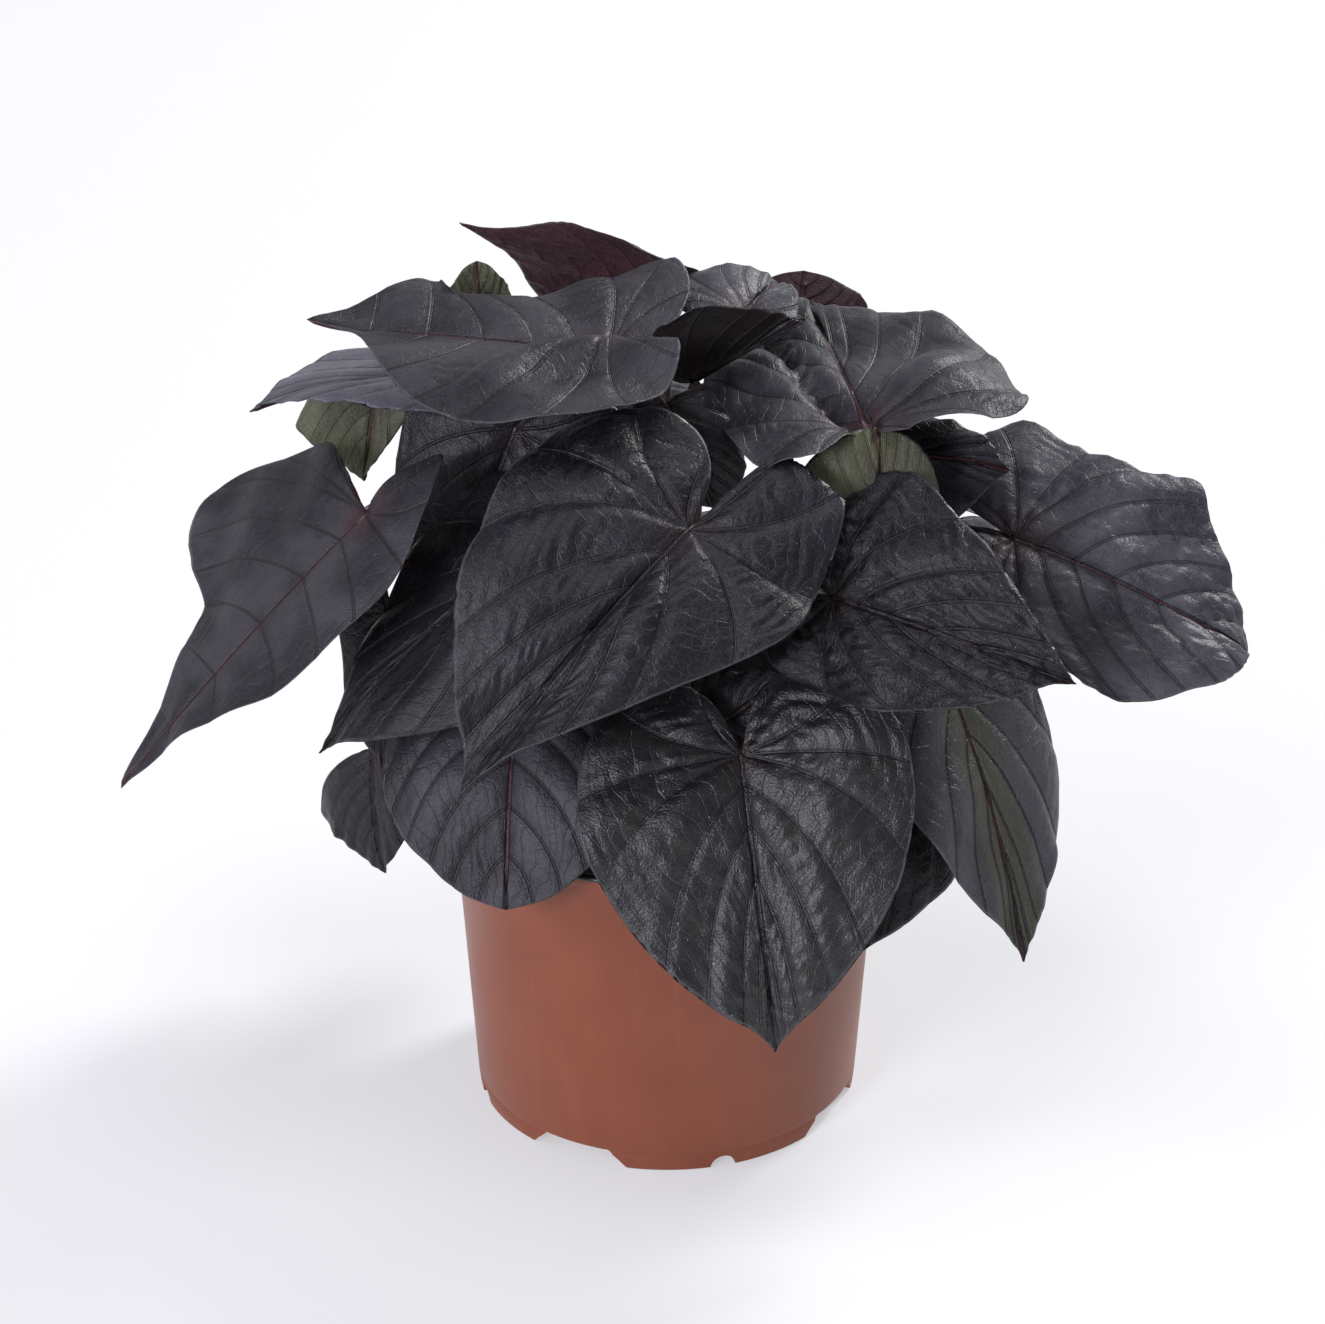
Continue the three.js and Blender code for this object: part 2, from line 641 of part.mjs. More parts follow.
place("pot", pot(), "terracotta");
place("soil", soil(), "soil");
for (const name of Object.keys(STEMS)) {
  place(name, geometryOf(solid(bar(stemCurve(name), STEM.radius, STEM.sides, STEM.steps))), "stem");
}
for (const [name, leaf] of Object.entries(LEAVES)) {
  place(name, leafGeometry({ ...USUAL, ...leaf }), name.startsWith("leaf_young") ? "youngLeaf" : "leaf");
}

export default group;
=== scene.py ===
# %% [markdown]
# # A dark sweet potato vine in a nursery pot
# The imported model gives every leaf, stem and the pot as a plain solid in its right place. This lesson
# lays a finished piece over each of them: blades with sunken veins, round stalks and stems, crumbly
# soil and a smooth two-coloured pot. The frame's own meshes are never moved.

# %% Load the frame
import math
import bmesh
import bpy
import numpy as np
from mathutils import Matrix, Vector


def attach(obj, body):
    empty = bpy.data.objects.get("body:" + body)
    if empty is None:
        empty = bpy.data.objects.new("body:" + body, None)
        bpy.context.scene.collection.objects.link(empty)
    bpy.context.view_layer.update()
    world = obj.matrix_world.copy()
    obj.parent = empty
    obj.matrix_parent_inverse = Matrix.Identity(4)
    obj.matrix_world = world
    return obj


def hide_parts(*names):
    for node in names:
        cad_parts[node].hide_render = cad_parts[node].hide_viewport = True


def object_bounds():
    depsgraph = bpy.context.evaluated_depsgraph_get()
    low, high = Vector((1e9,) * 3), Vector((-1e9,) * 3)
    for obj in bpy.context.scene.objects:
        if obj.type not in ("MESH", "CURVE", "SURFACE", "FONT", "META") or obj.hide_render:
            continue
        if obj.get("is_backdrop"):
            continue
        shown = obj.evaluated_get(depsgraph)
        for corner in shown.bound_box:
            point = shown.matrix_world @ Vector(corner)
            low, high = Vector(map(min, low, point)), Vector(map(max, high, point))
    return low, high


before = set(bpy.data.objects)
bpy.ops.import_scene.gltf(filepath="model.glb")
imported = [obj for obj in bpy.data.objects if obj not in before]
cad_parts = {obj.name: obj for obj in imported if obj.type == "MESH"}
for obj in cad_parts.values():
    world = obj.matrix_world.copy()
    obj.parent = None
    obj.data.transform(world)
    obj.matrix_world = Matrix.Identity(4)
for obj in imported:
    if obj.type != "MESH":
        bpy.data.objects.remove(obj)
cad_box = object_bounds()
print("nodes:", len(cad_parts))

MM = 0.001  # the tables below are in millimetres from the pot's axis, as the solids were drawn
POT_AXIS = np.array([-5, -22.4, 0])  # where that axis stands in the frame
rad = math.radians


def made(*things):
    """Says what a cell has defined."""
    print("made:", ", ".join(thing.__name__ for thing in things))


def linked(name, data):
    """An object at the origin, in the scene."""
    piece = bpy.data.objects.new(name, data)
    bpy.context.collection.objects.link(piece)
    return piece


made(made, linked)

# %% [markdown]
# ## The camera
# The view comes first, because it decides how much detail a piece needs. A long lens from a little
# over a metre away keeps the pot's sides nearly parallel. The camera looks down at the plant by
# about 27 degrees, at a point on the pot's axis just above the soil.

# %% Camera
IMAGE = (1325, 1324)
FOCAL_PIXELS = 4383.3
LOOK_AT = Vector((POT_AXIS + (-1.33, 0, 141.46)) * MM)
DISTANCE = 1.3
LOOK_DOWN = rad(26.74)

camera_data = bpy.data.cameras.new("camera")
camera_data.sensor_width = 36
camera_data.lens = FOCAL_PIXELS * camera_data.sensor_width / IMAGE[0]
camera_data.clip_end = 20
camera = linked("camera", camera_data)
back = Vector((0, -math.cos(LOOK_DOWN), math.sin(LOOK_DOWN)))
camera.location = LOOK_AT + back * DISTANCE
camera.rotation_euler = (math.pi / 2 - LOOK_DOWN, 0, 0)
bpy.context.scene.camera = camera
print("lens", round(camera_data.lens, 1), "mm")

# %% [markdown]
# ## Nodes
# Every finish here is a tree of nodes, and Geometry Nodes, which sweep the stalks and scatter the
# crumbs of soil, are such trees too. A short class that adds a node and hands back its output keeps
# both readable.

# %% Shorthand for nodes
class Wires:
    """Adds nodes to one tree, of geometry or of shaders; each call returns an output socket."""

    def __init__(self, tree):
        self.tree = tree

    def node(self, kind, inputs=None, output=0, **settings):
        """One node with its settings and its inputs: a value, or another node's output."""
        node = self.tree.nodes.new(kind)
        for key, value in settings.items():
            setattr(node, key, value)
        for key, value in (inputs or {}).items():
            if isinstance(value, bpy.types.NodeSocket):
                self.tree.links.new(value, node.inputs[key])
            else:
                node.inputs[key].default_value = value
        return node.outputs[output]

    def math(self, operation, *values):
        return self.node("ShaderNodeMath", dict(enumerate(values)), operation=operation)

    def times(self, a, b):
        return self.math("MULTIPLY", a, b)

    def vector(self, operation, *values, output=0):
        inputs = dict(enumerate(values))
        return self.node("ShaderNodeVectorMath", inputs, output, operation=operation)

    def step(self, value, low, high, at_low=0.0, at_high=1.0):
        """A soft step from at_low, where value is low, to at_high."""
        inputs = {0: value, 1: low, 2: high, 3: at_low, 4: at_high}
        return self.node("ShaderNodeMapRange", inputs, interpolation_type="SMOOTHSTEP")

    def mix(self, share, a, b):
        """Colour a, turning to b as share goes to one."""
        a, b = (tone if isinstance(tone, bpy.types.NodeSocket) else (*tone, 1.0) for tone in (a, b))
        return self.node("ShaderNodeMix", {0: share, 6: a, 7: b}, output=2, data_type="RGBA")

    def noise(self, place, scale, detail=3.0):
        return self.node("ShaderNodeTexNoise", {"Vector": place, "Scale": scale, "Detail": detail})

    def dots(self, place, scale, low, high, share):
        """Scattered dots, one share strong."""
        cells = self.node("ShaderNodeTexVoronoi", {"Vector": place, "Scale": scale})
        return self.times(self.step(cells, low, high, 1.0, 0.0), share)

    def number(self, name):
        """A number that the mesh carries."""
        return self.node("ShaderNodeAttribute", attribute_name=name, output=2)

    def map(self, name):
        return self.node("ShaderNodeUVMap", uv_map=name)

    def object_place(self, scale=(1.0, 1.0, 1.0)):
        """Where a point of the object is, in metres, stretched by scale."""
        return self.vector("MULTIPLY", self.node("ShaderNodeTexCoord", output=3), scale)

    def paint(self, shader, colour, height, roughness):
        """Gives a shader its colour, its relief in millimetres and its roughness."""
        bump = {"Height": height, "Distance": MM, "Strength": 1.0}
        self.tree.links.new(colour, shader.inputs["Base Color"])
        self.tree.links.new(self.node("ShaderNodeBump", bump), shader.inputs["Normal"])
        if isinstance(roughness, bpy.types.NodeSocket):
            self.tree.links.new(roughness, shader.inputs["Roughness"])
        else:
            shader.inputs["Roughness"].default_value = roughness


def node_material(name):
    """A new material, its wires and its Principled shader."""
    material = bpy.data.materials.new(name)
    material.use_nodes = True
    material.node_tree.nodes.clear()
    wires = Wires(material.node_tree)
    shader = wires.node("ShaderNodeBsdfPrincipled")
    end = material.node_tree.nodes.new("ShaderNodeOutputMaterial")
    material.node_tree.links.new(shader, end.inputs["Surface"])
    return material, wires, shader.node


made(Wires, node_material)

# %% [markdown]
# ## Floor and light
# The floor is one pale sheet that curves up into a wall far behind, so no horizon shows. It glows
# a little of its own, as a lit backdrop does, and that keeps the plant's shadow pale. The light is
# a studio's: a small box high on the right and behind draws the sheen on the leaves, a weak one
# stands on the left, a bluish one low in front opens the shade, and a large box hangs above.

# %% Floor
def mesh_object(name, vertices, faces):
    """A smooth mesh object at the origin, from lists in metres."""
    mesh = bpy.data.meshes.new(name)
    mesh.from_pydata([tuple(v) for v in vertices], [], faces)
    mesh.update()
    mesh.shade_smooth()
    return linked(name, mesh)


def make_floor(width=9.0, depth=4.0, bend=1.2, rise=3.0):
    """A sheet that runs back from the camera and sweeps up into a wall."""
    profile = [(-3.0, 0.0), (depth - bend, 0.0)]
    for i in range(1, 13):
        a = math.pi / 2 * i / 12
        profile.append((depth - bend + bend * math.sin(a), bend - bend * math.cos(a)))
    profile.append((depth, rise))
    vertices = [(x, y, z) for y, z in profile for x in (-width / 2, width / 2)]
    faces = [(2 * i, 2 * i + 1, 2 * i + 3, 2 * i + 2) for i in range(len(profile) - 1)]
    return mesh_object("studio_floor", vertices, faces)


floor = make_floor()
floor_material, _, shader = node_material("pale_floor")
shader.inputs["Base Color"].default_value = (0.36, 0.36, 0.37, 1)
shader.inputs["Emission Color"].default_value = (0.96, 0.97, 1.0, 1)
shader.inputs["Emission Strength"].default_value = 0.475
shader.inputs["Roughness"].default_value = 0.7
floor.data.materials.append(floor_material)
floor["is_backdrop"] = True
print("floor:", [round(size, 1) for size in floor.dimensions], "m")

# %% Lights
PLANT = Vector((0, 0, 0.15))


def soft_box(name, place, size, power, colour):
    """A square lamp at place that looks at the plant."""
    lamp = bpy.data.lights.new(name, "AREA")
    lamp.size = size
    lamp.energy = power
    lamp.color = colour
    holder = linked(name, lamp)
    holder.location = place
    holder.rotation_euler = (PLANT - Vector(place)).to_track_quat("-Z", "Y").to_euler()


soft_box("key_light", (1.7, 1.6, 1.9), 0.6, 80, (1, 0.99, 0.99))
soft_box("left_light", (-2.2, -0.7, 1.5), 0.8, 18, (0.95, 0.95, 1))
soft_box("low_light", (-1.0, -1.7, 0.9), 0.6, 29, (0.88, 0.89, 1))
soft_box("top_light", (0.0, -0.4, 3.0), 1.4, 28, (0.96, 0.96, 1))
world = bpy.data.worlds.new("studio")
world.use_nodes = True
sky = world.node_tree.nodes["Background"].inputs
sky["Color"].default_value = (0.95, 0.94, 1.0, 1)
sky["Strength"].default_value = 0.3
bpy.context.scene.world = world
bpy.context.scene.view_settings.view_transform = "Standard"

# %% [markdown]
# ## The shape of a leaf
# Every blade follows one rule, the same as its solid's. A half outline is a smooth curve through a
# few points. Side veins leave the midrib, or the stalk's end, and bend out to that outline: `u` says
# which vein, `v` how far along it. The flat shape is then folded, curled, waved and laid along an
# arched midrib. A grid of (u, v) is used instead of Blender's sculpting, because it puts an edge of
# the mesh exactly on every vein.

# %% Outlines of half a leaf
# x is a share of the half width, y a share of the length from stalk to tip.
OUTLINES = {
    "heart": [
        [0, 0], [0.12, -0.17], [0.36, -0.26], [0.7, -0.22], [0.94, -0.05], [1, 0.15], [0.93, 0.36],
        [0.73, 0.57], [0.43, 0.77], [0.15, 0.9], [0.05, 0.96], [0, 1],
    ],
    "slim": [
        [0, 0], [0.1, -0.25], [0.3, -0.38], [0.58, -0.34], [0.84, -0.2], [0.97, -0.02], [0.88, 0.19],
        [0.64, 0.42], [0.36, 0.66], [0.12, 0.86], [0.045, 0.95], [0, 1],
    ],
    "hooked": [
        [0, 0], [-0.18, -0.12], [-0.15, -0.2], [0.03, -0.23], [0.3, -0.19], [0.58, -0.11], [0.84, -0.01],
        [1, 0.12], [0.98, 0.3], [0.84, 0.52], [0.3, 0.77], [0, 1],
    ],
    "tapered": [
        [0, 0], [0.12, -0.17], [0.36, -0.26], [0.7, -0.22], [0.94, -0.05], [1, 0.12], [0.86, 0.33],
        [0.66, 0.52], [0.42, 0.7], [0.17, 0.88], [0.05, 0.96], [0, 1],
    ],
    "drawn": [
        [0, 0], [0.12, -0.17], [0.36, -0.26], [0.7, -0.22], [0.94, -0.05], [1, 0.15], [0.97, 0.36],
        [0.74, 0.54], [0.32, 0.7], [0.1, 0.85], [0, 1],
    ],
    "shouldered": [
        [0, 0], [0.25, -0.04], [0.37, -0.1], [0.52, -0.13], [0.68, -0.06], [0.87, 0.14], [1, 0.28],
        [0.97, 0.41], [0.73, 0.48], [0.45, 0.53], [0.28, 0.7], [0, 1],
    ],
    "domed": [
        [0, 0], [0.1, -0.1], [0.4, -0.14], [0.78, -0.02], [0.97, 0.22], [1, 0.48], [0.9, 0.7], [0.68, 0.86],
        [0.38, 0.96], [0.12, 0.995], [0, 1],
    ],
    "lobed": [
        [0, 0], [0.08, -0.05], [0.22, -0.12], [0.42, -0.23], [0.64, -0.27], [0.86, -0.16], [0.96, 0.1],
        [1, 0.42], [0.89, 0.66], [0.62, 0.82], [0.34, 0.94], [0, 1],
    ],
    "kite": [
        [0, 0], [0.2, 0.05], [0.45, 0.22], [0.75, 0.44], [1, 0.6], [0.84, 0.7], [0.56, 0.8], [0.25, 0.92],
        [0, 1],
    ],
    "cornered": [
        [0, 0], [0.15, -0.18], [0.5, -0.26], [0.88, -0.17], [0.9, 0.04], [0.86, 0.28], [1, 0.5],
        [0.76, 0.64], [0.5, 0.78], [0.28, 0.91], [0, 1],
    ],
    "rolled": [
        [0, 0], [0.02, -0.1], [0.1, -0.19], [0.32, -0.26], [0.57, -0.235], [0.8, -0.115], [0.95, 0.06],
        [1, 0.25], [0.84, 0.5], [0.52, 0.67], [0.14, 0.81], [0, 1],
    ],
    "waisted": [
        [0, 0], [0.1, -0.09], [0.36, -0.19], [0.76, -0.2], [1, -0.12], [0.98, 0], [0.74, 0.14],
        [0.45, 0.34], [0.44, 0.55], [0.6, 0.7], [0, 1],
    ],
    "blunt": [
        [0, 0], [0, -0.14], [0.22, -0.25], [0.62, -0.22], [0.88, -0.02], [0.9, 0.26], [1, 0.5],
        [0.88, 0.68], [0.62, 0.82], [0.34, 0.94], [0, 1],
    ],
}
print("outlines:", len(OUTLINES))

# %% The leaves
# base, tip, face: where the blade starts and ends, and the compass and height its upper side faces
# half: widths of the left and right half.  stalk: stem, share of its height, point on the way
# arch, hook, lobe: bends of the midrib, of its last quarter and of the lobes, in degrees
# fold, cup: rise at the midrib and curl back of each half.  wave: height, number, start of ripples
# ears: length of the lobes.  even: share of the fold lost at the tip.  behind: how the stalk comes
USUAL = dict(
    arch=25,
    hook=0,
    lobe=20,
    fold=[14, 14],
    cup=[35, 35],
    wave=[2, 1.5, 0],
    outline=["heart", "heart"],
    ears=[1, 1],
    even=0.3,
    behind=0.5,
)


def shaped(base, tip, face, half, stalk, **more):
    """One leaf's numbers: its own in place of the usual ones."""
    return {**USUAL, "base": base, "tip": tip, "face": face, "half": half, "stalk": stalk, **more}


LEAVES = {
    # crown
    "crown_left": shaped(
        [-17, -6, 242], [-104, 12, 246], [-90, 84], [48, 42], ["centre", 0.95], arch=10, hook=30, lobe=-5,
        fold=[18, 20], cup=[30, 12], wave=[2, 2, 0.3], outline=["rolled", "waisted"], even=0.4
    ),
    "crown_back_up": shaped(
        [-1, 60, 229], [-62, 64, 256], [72, 34], [34, 30], ["centre", 0.75, [-7, 40, 208]], arch=0,
        outline=["drawn", "drawn"], ears=[0.3, 0.8]
    ),
    "crown_right": shaped(
        [7, 3, 230], [40, 9, 247], [-90, 80], [12, 27], ["centre", 0.9, [9, 2, 212]], arch=5,
        fold=[80, 100], cup=[20, 30], ears=[0.4, 0.3]
    ),
    "crown_down": shaped(
        [0, -11, 229], [15, -14, 197], [-70, 15], [15, 20], ["centre", 0.7, [3, -1, 212]], fold=[35, 10],
        outline=["blunt", "heart"], ears=[0.05, 0.5]
    ),
    "crown_mid": shaped(
        [22, 18, 244], [33, 42, 246], [-90, 70], [26, 14], ["centre", 0.93, [3, 19, 236]], fold=[25, 15]
    ),
    "crown_back": shaped(
        [40, 75, 214], [42, 88, 231], [80, 25], [21, 21], ["centre", 0.97], outline=["blunt", "blunt"]
    ),
    "right_top": shaped(
        [57, -20, 226], [42, 60, 231], [-90, 88], [41, 49], ["right", 0.99, [44, 4, 200]], arch=5, lobe=-5,
        fold=[12, 28], cup=[30, 48], outline=["lobed", "heart"], ears=[0.85, 0.5], behind=-0.8
    ),
    # young olive leaves
    "young_left": shaped(
        [-84, 38, 222], [-90, 32, 186], [-110, 25], [15, 23], ["left", 0.99, [-70, 30, 185]], fold=[35, 35],
        outline=["tapered", "kite"], ears=[0.2, 1]
    ),
    "young_back": shaped(
        [-55, 59, 220], [-57, 63, 244], [-90, 20], [10, 10], ["back", 0.95, [-44, 60, 200]],
        outline=["blunt", "blunt"]
    ),
    "young_right": shaped(
        [63, 0, 209], [99, -7, 207], [-80, 60], [16, 30], ["right", 0.6, [72, 10, 180]], fold=[30, -45],
        behind=0
    ),
    "young_mid": shaped(
        [60, -31, 191], [60, -22, 227], [-80, 20], [24, 17], ["right", 0.6, [66, -8, 190]],
        outline=["domed", "domed"], behind=0
    ),
    # left side
    "left_back": shaped([-54, 20, 225], [-121, 5, 220], [90, 84], [26, 36], ["left", 0.99]),
    "left_big": shaped(
        [-86, -22, 200], [-158, -45, 123], [-153, 46], [31, 64], ["left", 0.9], arch=8, fold=[8, 4],
        cup=[25, 8], outline=["hooked", "shouldered"], ears=[1.1, 0.25], behind=-0.3
    ),
    "left_shade": shaped(
        [-38, -26, 190], [-101, -40, 132], [-140, 40], [42, 36], ["left", 0.7], outline=["heart", "slim"],
        ears=[0.45, 0.7]
    ),
    "left_inner": shaped(
        [-44, 7, 214], [-66, 6, 152], [-100, 8], [30, 32], ["centre", 0.85], ears=[1.4, 0.5]
    ),
    "left_low": shaped(
        [-42, -28, 156], [-46, -70, 97], [-105, 25], [40, 39], ["left", 0.55], outline=["blunt", "blunt"]
    ),
    "left_low_back": shaped(
        [-89, 12, 106], [-86, 10, 64], [-130, 15], [18, 24], ["left", 0.45], outline=["heart", "kite"],
        ears=[0.5, 0.3]
    ),
    "left_under": shaped(
        [-82, 0, 158], [-84, -8, 108], [-115, 12], [20, 15], ["left", 0.6], ears=[0.8, 0.8]
    ),
    # front
    "front_mid": shaped(
        [6, -52, 209], [-57, -95, 149], [-100, 38], [42, 50], ["front", 0.97], arch=30, lobe=-5,
        cup=[32, 35], outline=["slim", "heart"], ears=[1.15, 0.95]
    ),
    "front_right": shaped(
        [47, -48, 186], [114, -74, 172], [-80, 26], [40, 27], ["right", 0.75], outline=["tapered", "heart"]
    ),
    "front_low": shaped(
        [21, -58, 141], [31, -92, 63], [-88, 18], [48, 48], ["front", 0.8], arch=30, lobe=15, cup=[20, 22]
    ),
    "front_small": shaped([19, -43, 146], [36, -42, 159], [-90, 30], [11, 9], ["front", 0.99]),
    # between the stems
    "inner_front": shaped([14, -12, 168], [20, -16, 118], [-85, 10], [30, 30], ["front", 0.6]),
    "inner_back": shaped([-28, 27, 199], [-27, 30, 150], [-90, 5], [20, 26], ["back", 0.8]),
    # right side
    "right_big": shaped(
        [101, -5, 184], [168, -20, 154], [-75, 42], [40, 34], ["right", 0.95], arch=30, hook=-30,
        wave=[4, 2, 0], outline=["cornered", "blunt"], ears=[1.3, 1.3]
    ),
    "right_low": shaped(
        [79, -22, 153], [104, -55, 71], [-50, 20], [35, 34], ["right", 0.6], ears=[0.9, 0.8]
    ),
    "right_shade": shaped([74, -22, 120], [57, -50, 71], [-70, 20], [26, 10], ["right", 0.35]),
    # back
    "back_left_top": shaped(
        [-28, 80, 174], [-56, 136, 144], [120, 50], [40, 36], ["back", 0.99], ears=[0.8, 0.8]
    ),
    "back_top": shaped([12, 66, 198], [6, 134, 168], [90, 50], [38, 38], ["back", 0.97]),
    "back_right_top": shaped(
        [52, 68, 190], [90, 118, 158], [60, 50], [38, 36], ["back", 0.85, [38, 50, 168]]
    ),
    "back_left": shaped(
        [-84, 58, 153], [-144, 86, 116], [160, 42], [43, 43], ["left", 0.85, [-62, 40, 162]],
        ears=[0.5, 0.8]
    ),
    "back_right": shaped([98, 38, 170], [156, 62, 124], [25, 42], [43, 43], ["right", 0.9]),
    "back_mid": shaped([0, 82, 150], [4, 140, 100], [88, 35], [40, 40], ["back", 0.8]),
    "back_low_left": shaped([-50, 68, 132], [-84, 104, 78], [128, 30], [40, 40], ["back", 0.6]),
    "back_low_right": shaped([58, 62, 140], [96, 102, 82], [52, 30], [40, 40], ["back", 0.65]),
}

STEMS = {
    "centre": [[2, 4, 91], [0, 8, 125], [4, 10, 160], [6, 8, 190]],
    "left": [[-20, -2, 91], [-32, -2, 115], [-42, 0, 140], [-50, 4, 165]],
    "right": [[22, -2, 91], [34, 0, 112], [46, 2, 138], [54, 6, 160]],
    "front": [[2, -22, 91], [0, -32, 112], [0, -38, 130], [2, -42, 146]],
    "back": [[4, 28, 91], [2, 42, 115], [2, 54, 140], [0, 60, 165]],
}
STEM_RADIUS, STEM_SUNK = 3.0, 26.0  # how thick a stem is, and how deep its foot stands in the soil
print("leaves:", len(LEAVES), "stems:", len(STEMS))

# %% Curves and the midrib
def unit(a):
    """Vectors of length one, along the last axis."""
    return a / np.linalg.norm(a, axis=-1, keepdims=True)


def smooth_path(points, t):
    """Points at shares t of a centripetal Catmull-Rom curve through the given points."""
    p = np.array(points, float)
    p = np.vstack([2 * p[0] - p[1], p, 2 * p[-1] - p[-2]])
    spans = len(p) - 3
    place = np.clip(np.asarray(t, float), 0, 1) * spans
    i = np.minimum(place.astype(int), spans - 1)
    f = (place - i)[:, None]
    a, b, c, d = p[i], p[i + 1], p[i + 2], p[i + 3]
    ab, bc, cd = (np.sqrt(np.linalg.norm(q - o, axis=1))[:, None] for o, q in ((a, b), (b, c), (c, d)))
    start = bc * ((b - a) / ab - (c - a) / (ab + bc) + (c - b) / bc)
    end = bc * ((c - b) / bc - (d - b) / (bc + cd) + (d - c) / cd)
    return b + f * (start + f * (3 * (c - b) - 2 * start - end + f * (2 * (b - c) + start + end)))


def stem_points(name):
    """A stem's points from its buried foot to its tip."""
    foot = STEMS[name][0]
    return [[foot[0], foot[1], foot[2] - STEM_SUNK]] + STEMS[name]


class Spine:
    """The midrib seen from the side, scaled and turned so that its ends lie on base and tip."""

    def __init__(self, leaf, steps=68, first=-0.36):
        step = (1 - first) / steps
        angle = lambda s: np.radians(
            -leaf["arch"] * (np.maximum(s, 0) - 0.5)
            + leaf["hook"] * np.maximum(0, (s - 0.75) / 0.25) ** 2
            + leaf["lobe"] * np.maximum(0, -s / 0.25)
        )
        self.s = first + step * np.arange(steps + 1)
        middle = angle(self.s[:-1] + step / 2)
        self.y = np.concatenate([[0], np.cumsum(step * np.cos(middle))])
        self.z = np.concatenate([[0], np.cumsum(step * np.sin(middle))])
        self.angle = angle(self.s)
        self.start = [np.interp(0, self.s, self.y), np.interp(0, self.s, self.z)]
        end = [np.interp(1, self.s, self.y) - self.start[0], np.interp(1, self.s, self.z) - self.start[1]]
        chord = np.linalg.norm(np.subtract(leaf["tip"], leaf["base"]))
        self.length = chord / math.hypot(*end)
        self.turn = -math.atan2(end[1], end[0])

    def at(self, s):
        """Forward, up and slope at shares s of the length."""
        y = np.interp(s, self.s, self.y) - self.start[0]
        z = np.interp(s, self.s, self.z) - self.start[1]
        c, d = math.cos(self.turn), math.sin(self.turn)
        slope = np.interp(s, self.s, self.angle) + self.turn
        return self.length * (y * c - z * d), self.length * (y * d + z * c), slope


def axes_of(leaf):
    """Forward to the tip, up from the upper side, and right."""
    forward = unit(np.subtract(leaf["tip"], leaf["base"]).astype(float))
    compass, height = np.radians(leaf["face"])
    level = math.cos(height)
    up = np.array([math.cos(compass) * level, math.sin(compass) * level, math.sin(height)])
    up = unit(up - forward * (up @ forward))
    return forward, up, np.cross(forward, up)


print("longest midrib:", round(max(Spine(leaf).length for leaf in LEAVES.values())), "mm")

# %% From vein and distance to a point of the blade
FIRST_ON_MIDRIB = 0.61  # side veins before this u all leave the stalk's end
VEIN_SWEEP = 1.35  # the higher, the more the others lean towards the tip


def margin(leaf, u, h):
    """The outline of half h at u, from the notch (0) to the tip (1)."""
    outline = np.array(OUTLINES[leaf["outline"][h]], float)
    outline[:, 1] = np.where(outline[:, 1] < 0, outline[:, 1] * leaf["ears"][h], outline[:, 1])
    last = len(outline) - 1
    t = np.clip(u, 0, 1) * last
    i = np.minimum(t.astype(int), last - 1)
    f = (t - i)[..., None]
    a, b, c, d = (outline[np.clip(i + k, 0, last)] for k in (-1, 0, 1, 2))
    bend = 2 * a - 5 * b + 4 * c - d + f * (3 * (b - c) + d - a)
    return b + 0.5 * f * (c - a + f * bend)


def flat_point(leaf, u, v, h):
    """The flat blade: x as a share of the half width, y as a share of the length."""
    start = np.maximum(0, (u - FIRST_ON_MIDRIB) / (1 - FIRST_ON_MIDRIB)) ** VEIN_SWEEP
    edge = margin(leaf, u, h)
    bend_x, bend_y = 0.75 * edge[..., 0], start + 0.3 * (edge[..., 1] - start)
    p, q, r = (1 - v) ** 2, 2 * v * (1 - v), v * v
    return q * bend_x + r * edge[..., 0], p * start + q * bend_y + r * edge[..., 1]


def blade_point(leaf, spine, axes, u, v, h):
    """Points of the blade's middle surface, in millimetres."""
    x, y = flat_point(leaf, u, v, h)
    side = 2 * h - 1
    fold = rad(leaf["fold"][h]) * (1 - leaf["even"] * np.maximum(y, 0))
    cup = rad(leaf["cup"][h])
    across = side * leaf["half"][h] * (np.sin(fold) - np.sin(fold - cup * x)) / cup
    height, waves, start = leaf["wave"]
    ripple = np.sin(math.pi * u) * np.sin(2 * math.pi * (waves * u + start) + 1.9 * h)
    lift = leaf["half"][h] * (np.cos(fold - cup * x) - np.cos(fold)) / cup + height * v * v * ripple
    along, rise, slope = spine.at(y)
    forward, up, right = axes
    return (
        np.array(leaf["base"], float)
        + across[..., None] * right
        + (along - lift * np.sin(slope))[..., None] * forward
        + (rise + lift * np.cos(slope))[..., None] * up
    )


def blade_normal(leaf, spine, axes, u, v, h, step=0.01):
    """The middle surface's upward normal; on the midrib both halves share the midrib's own."""
    at = lambda s, t: blade_point(leaf, spine, axes, s, t, h)
    along = at(np.minimum(u + step, 1), v) - at(np.maximum(u - step, 0), v)
    outward = at(u, np.minimum(v + step, 1)) - at(u, np.maximum(v - step, 0))
    normal = np.cross(along, outward) * (1 - 2 * h)
    size = np.linalg.norm(normal, axis=-1, keepdims=True)
    slope = spine.at(flat_point(leaf, u, v, h)[1])[2][..., None]
    middle = np.cos(slope) * axes[1] - np.sin(slope) * axes[0]
    on_rib = ((v == 0) | (u == 0) | (u == 1))[..., None] | (size < 1e-9)
    return np.where(on_rib, middle, normal / np.maximum(size, 1e-9))


made(margin, flat_point, blade_point, blade_normal)

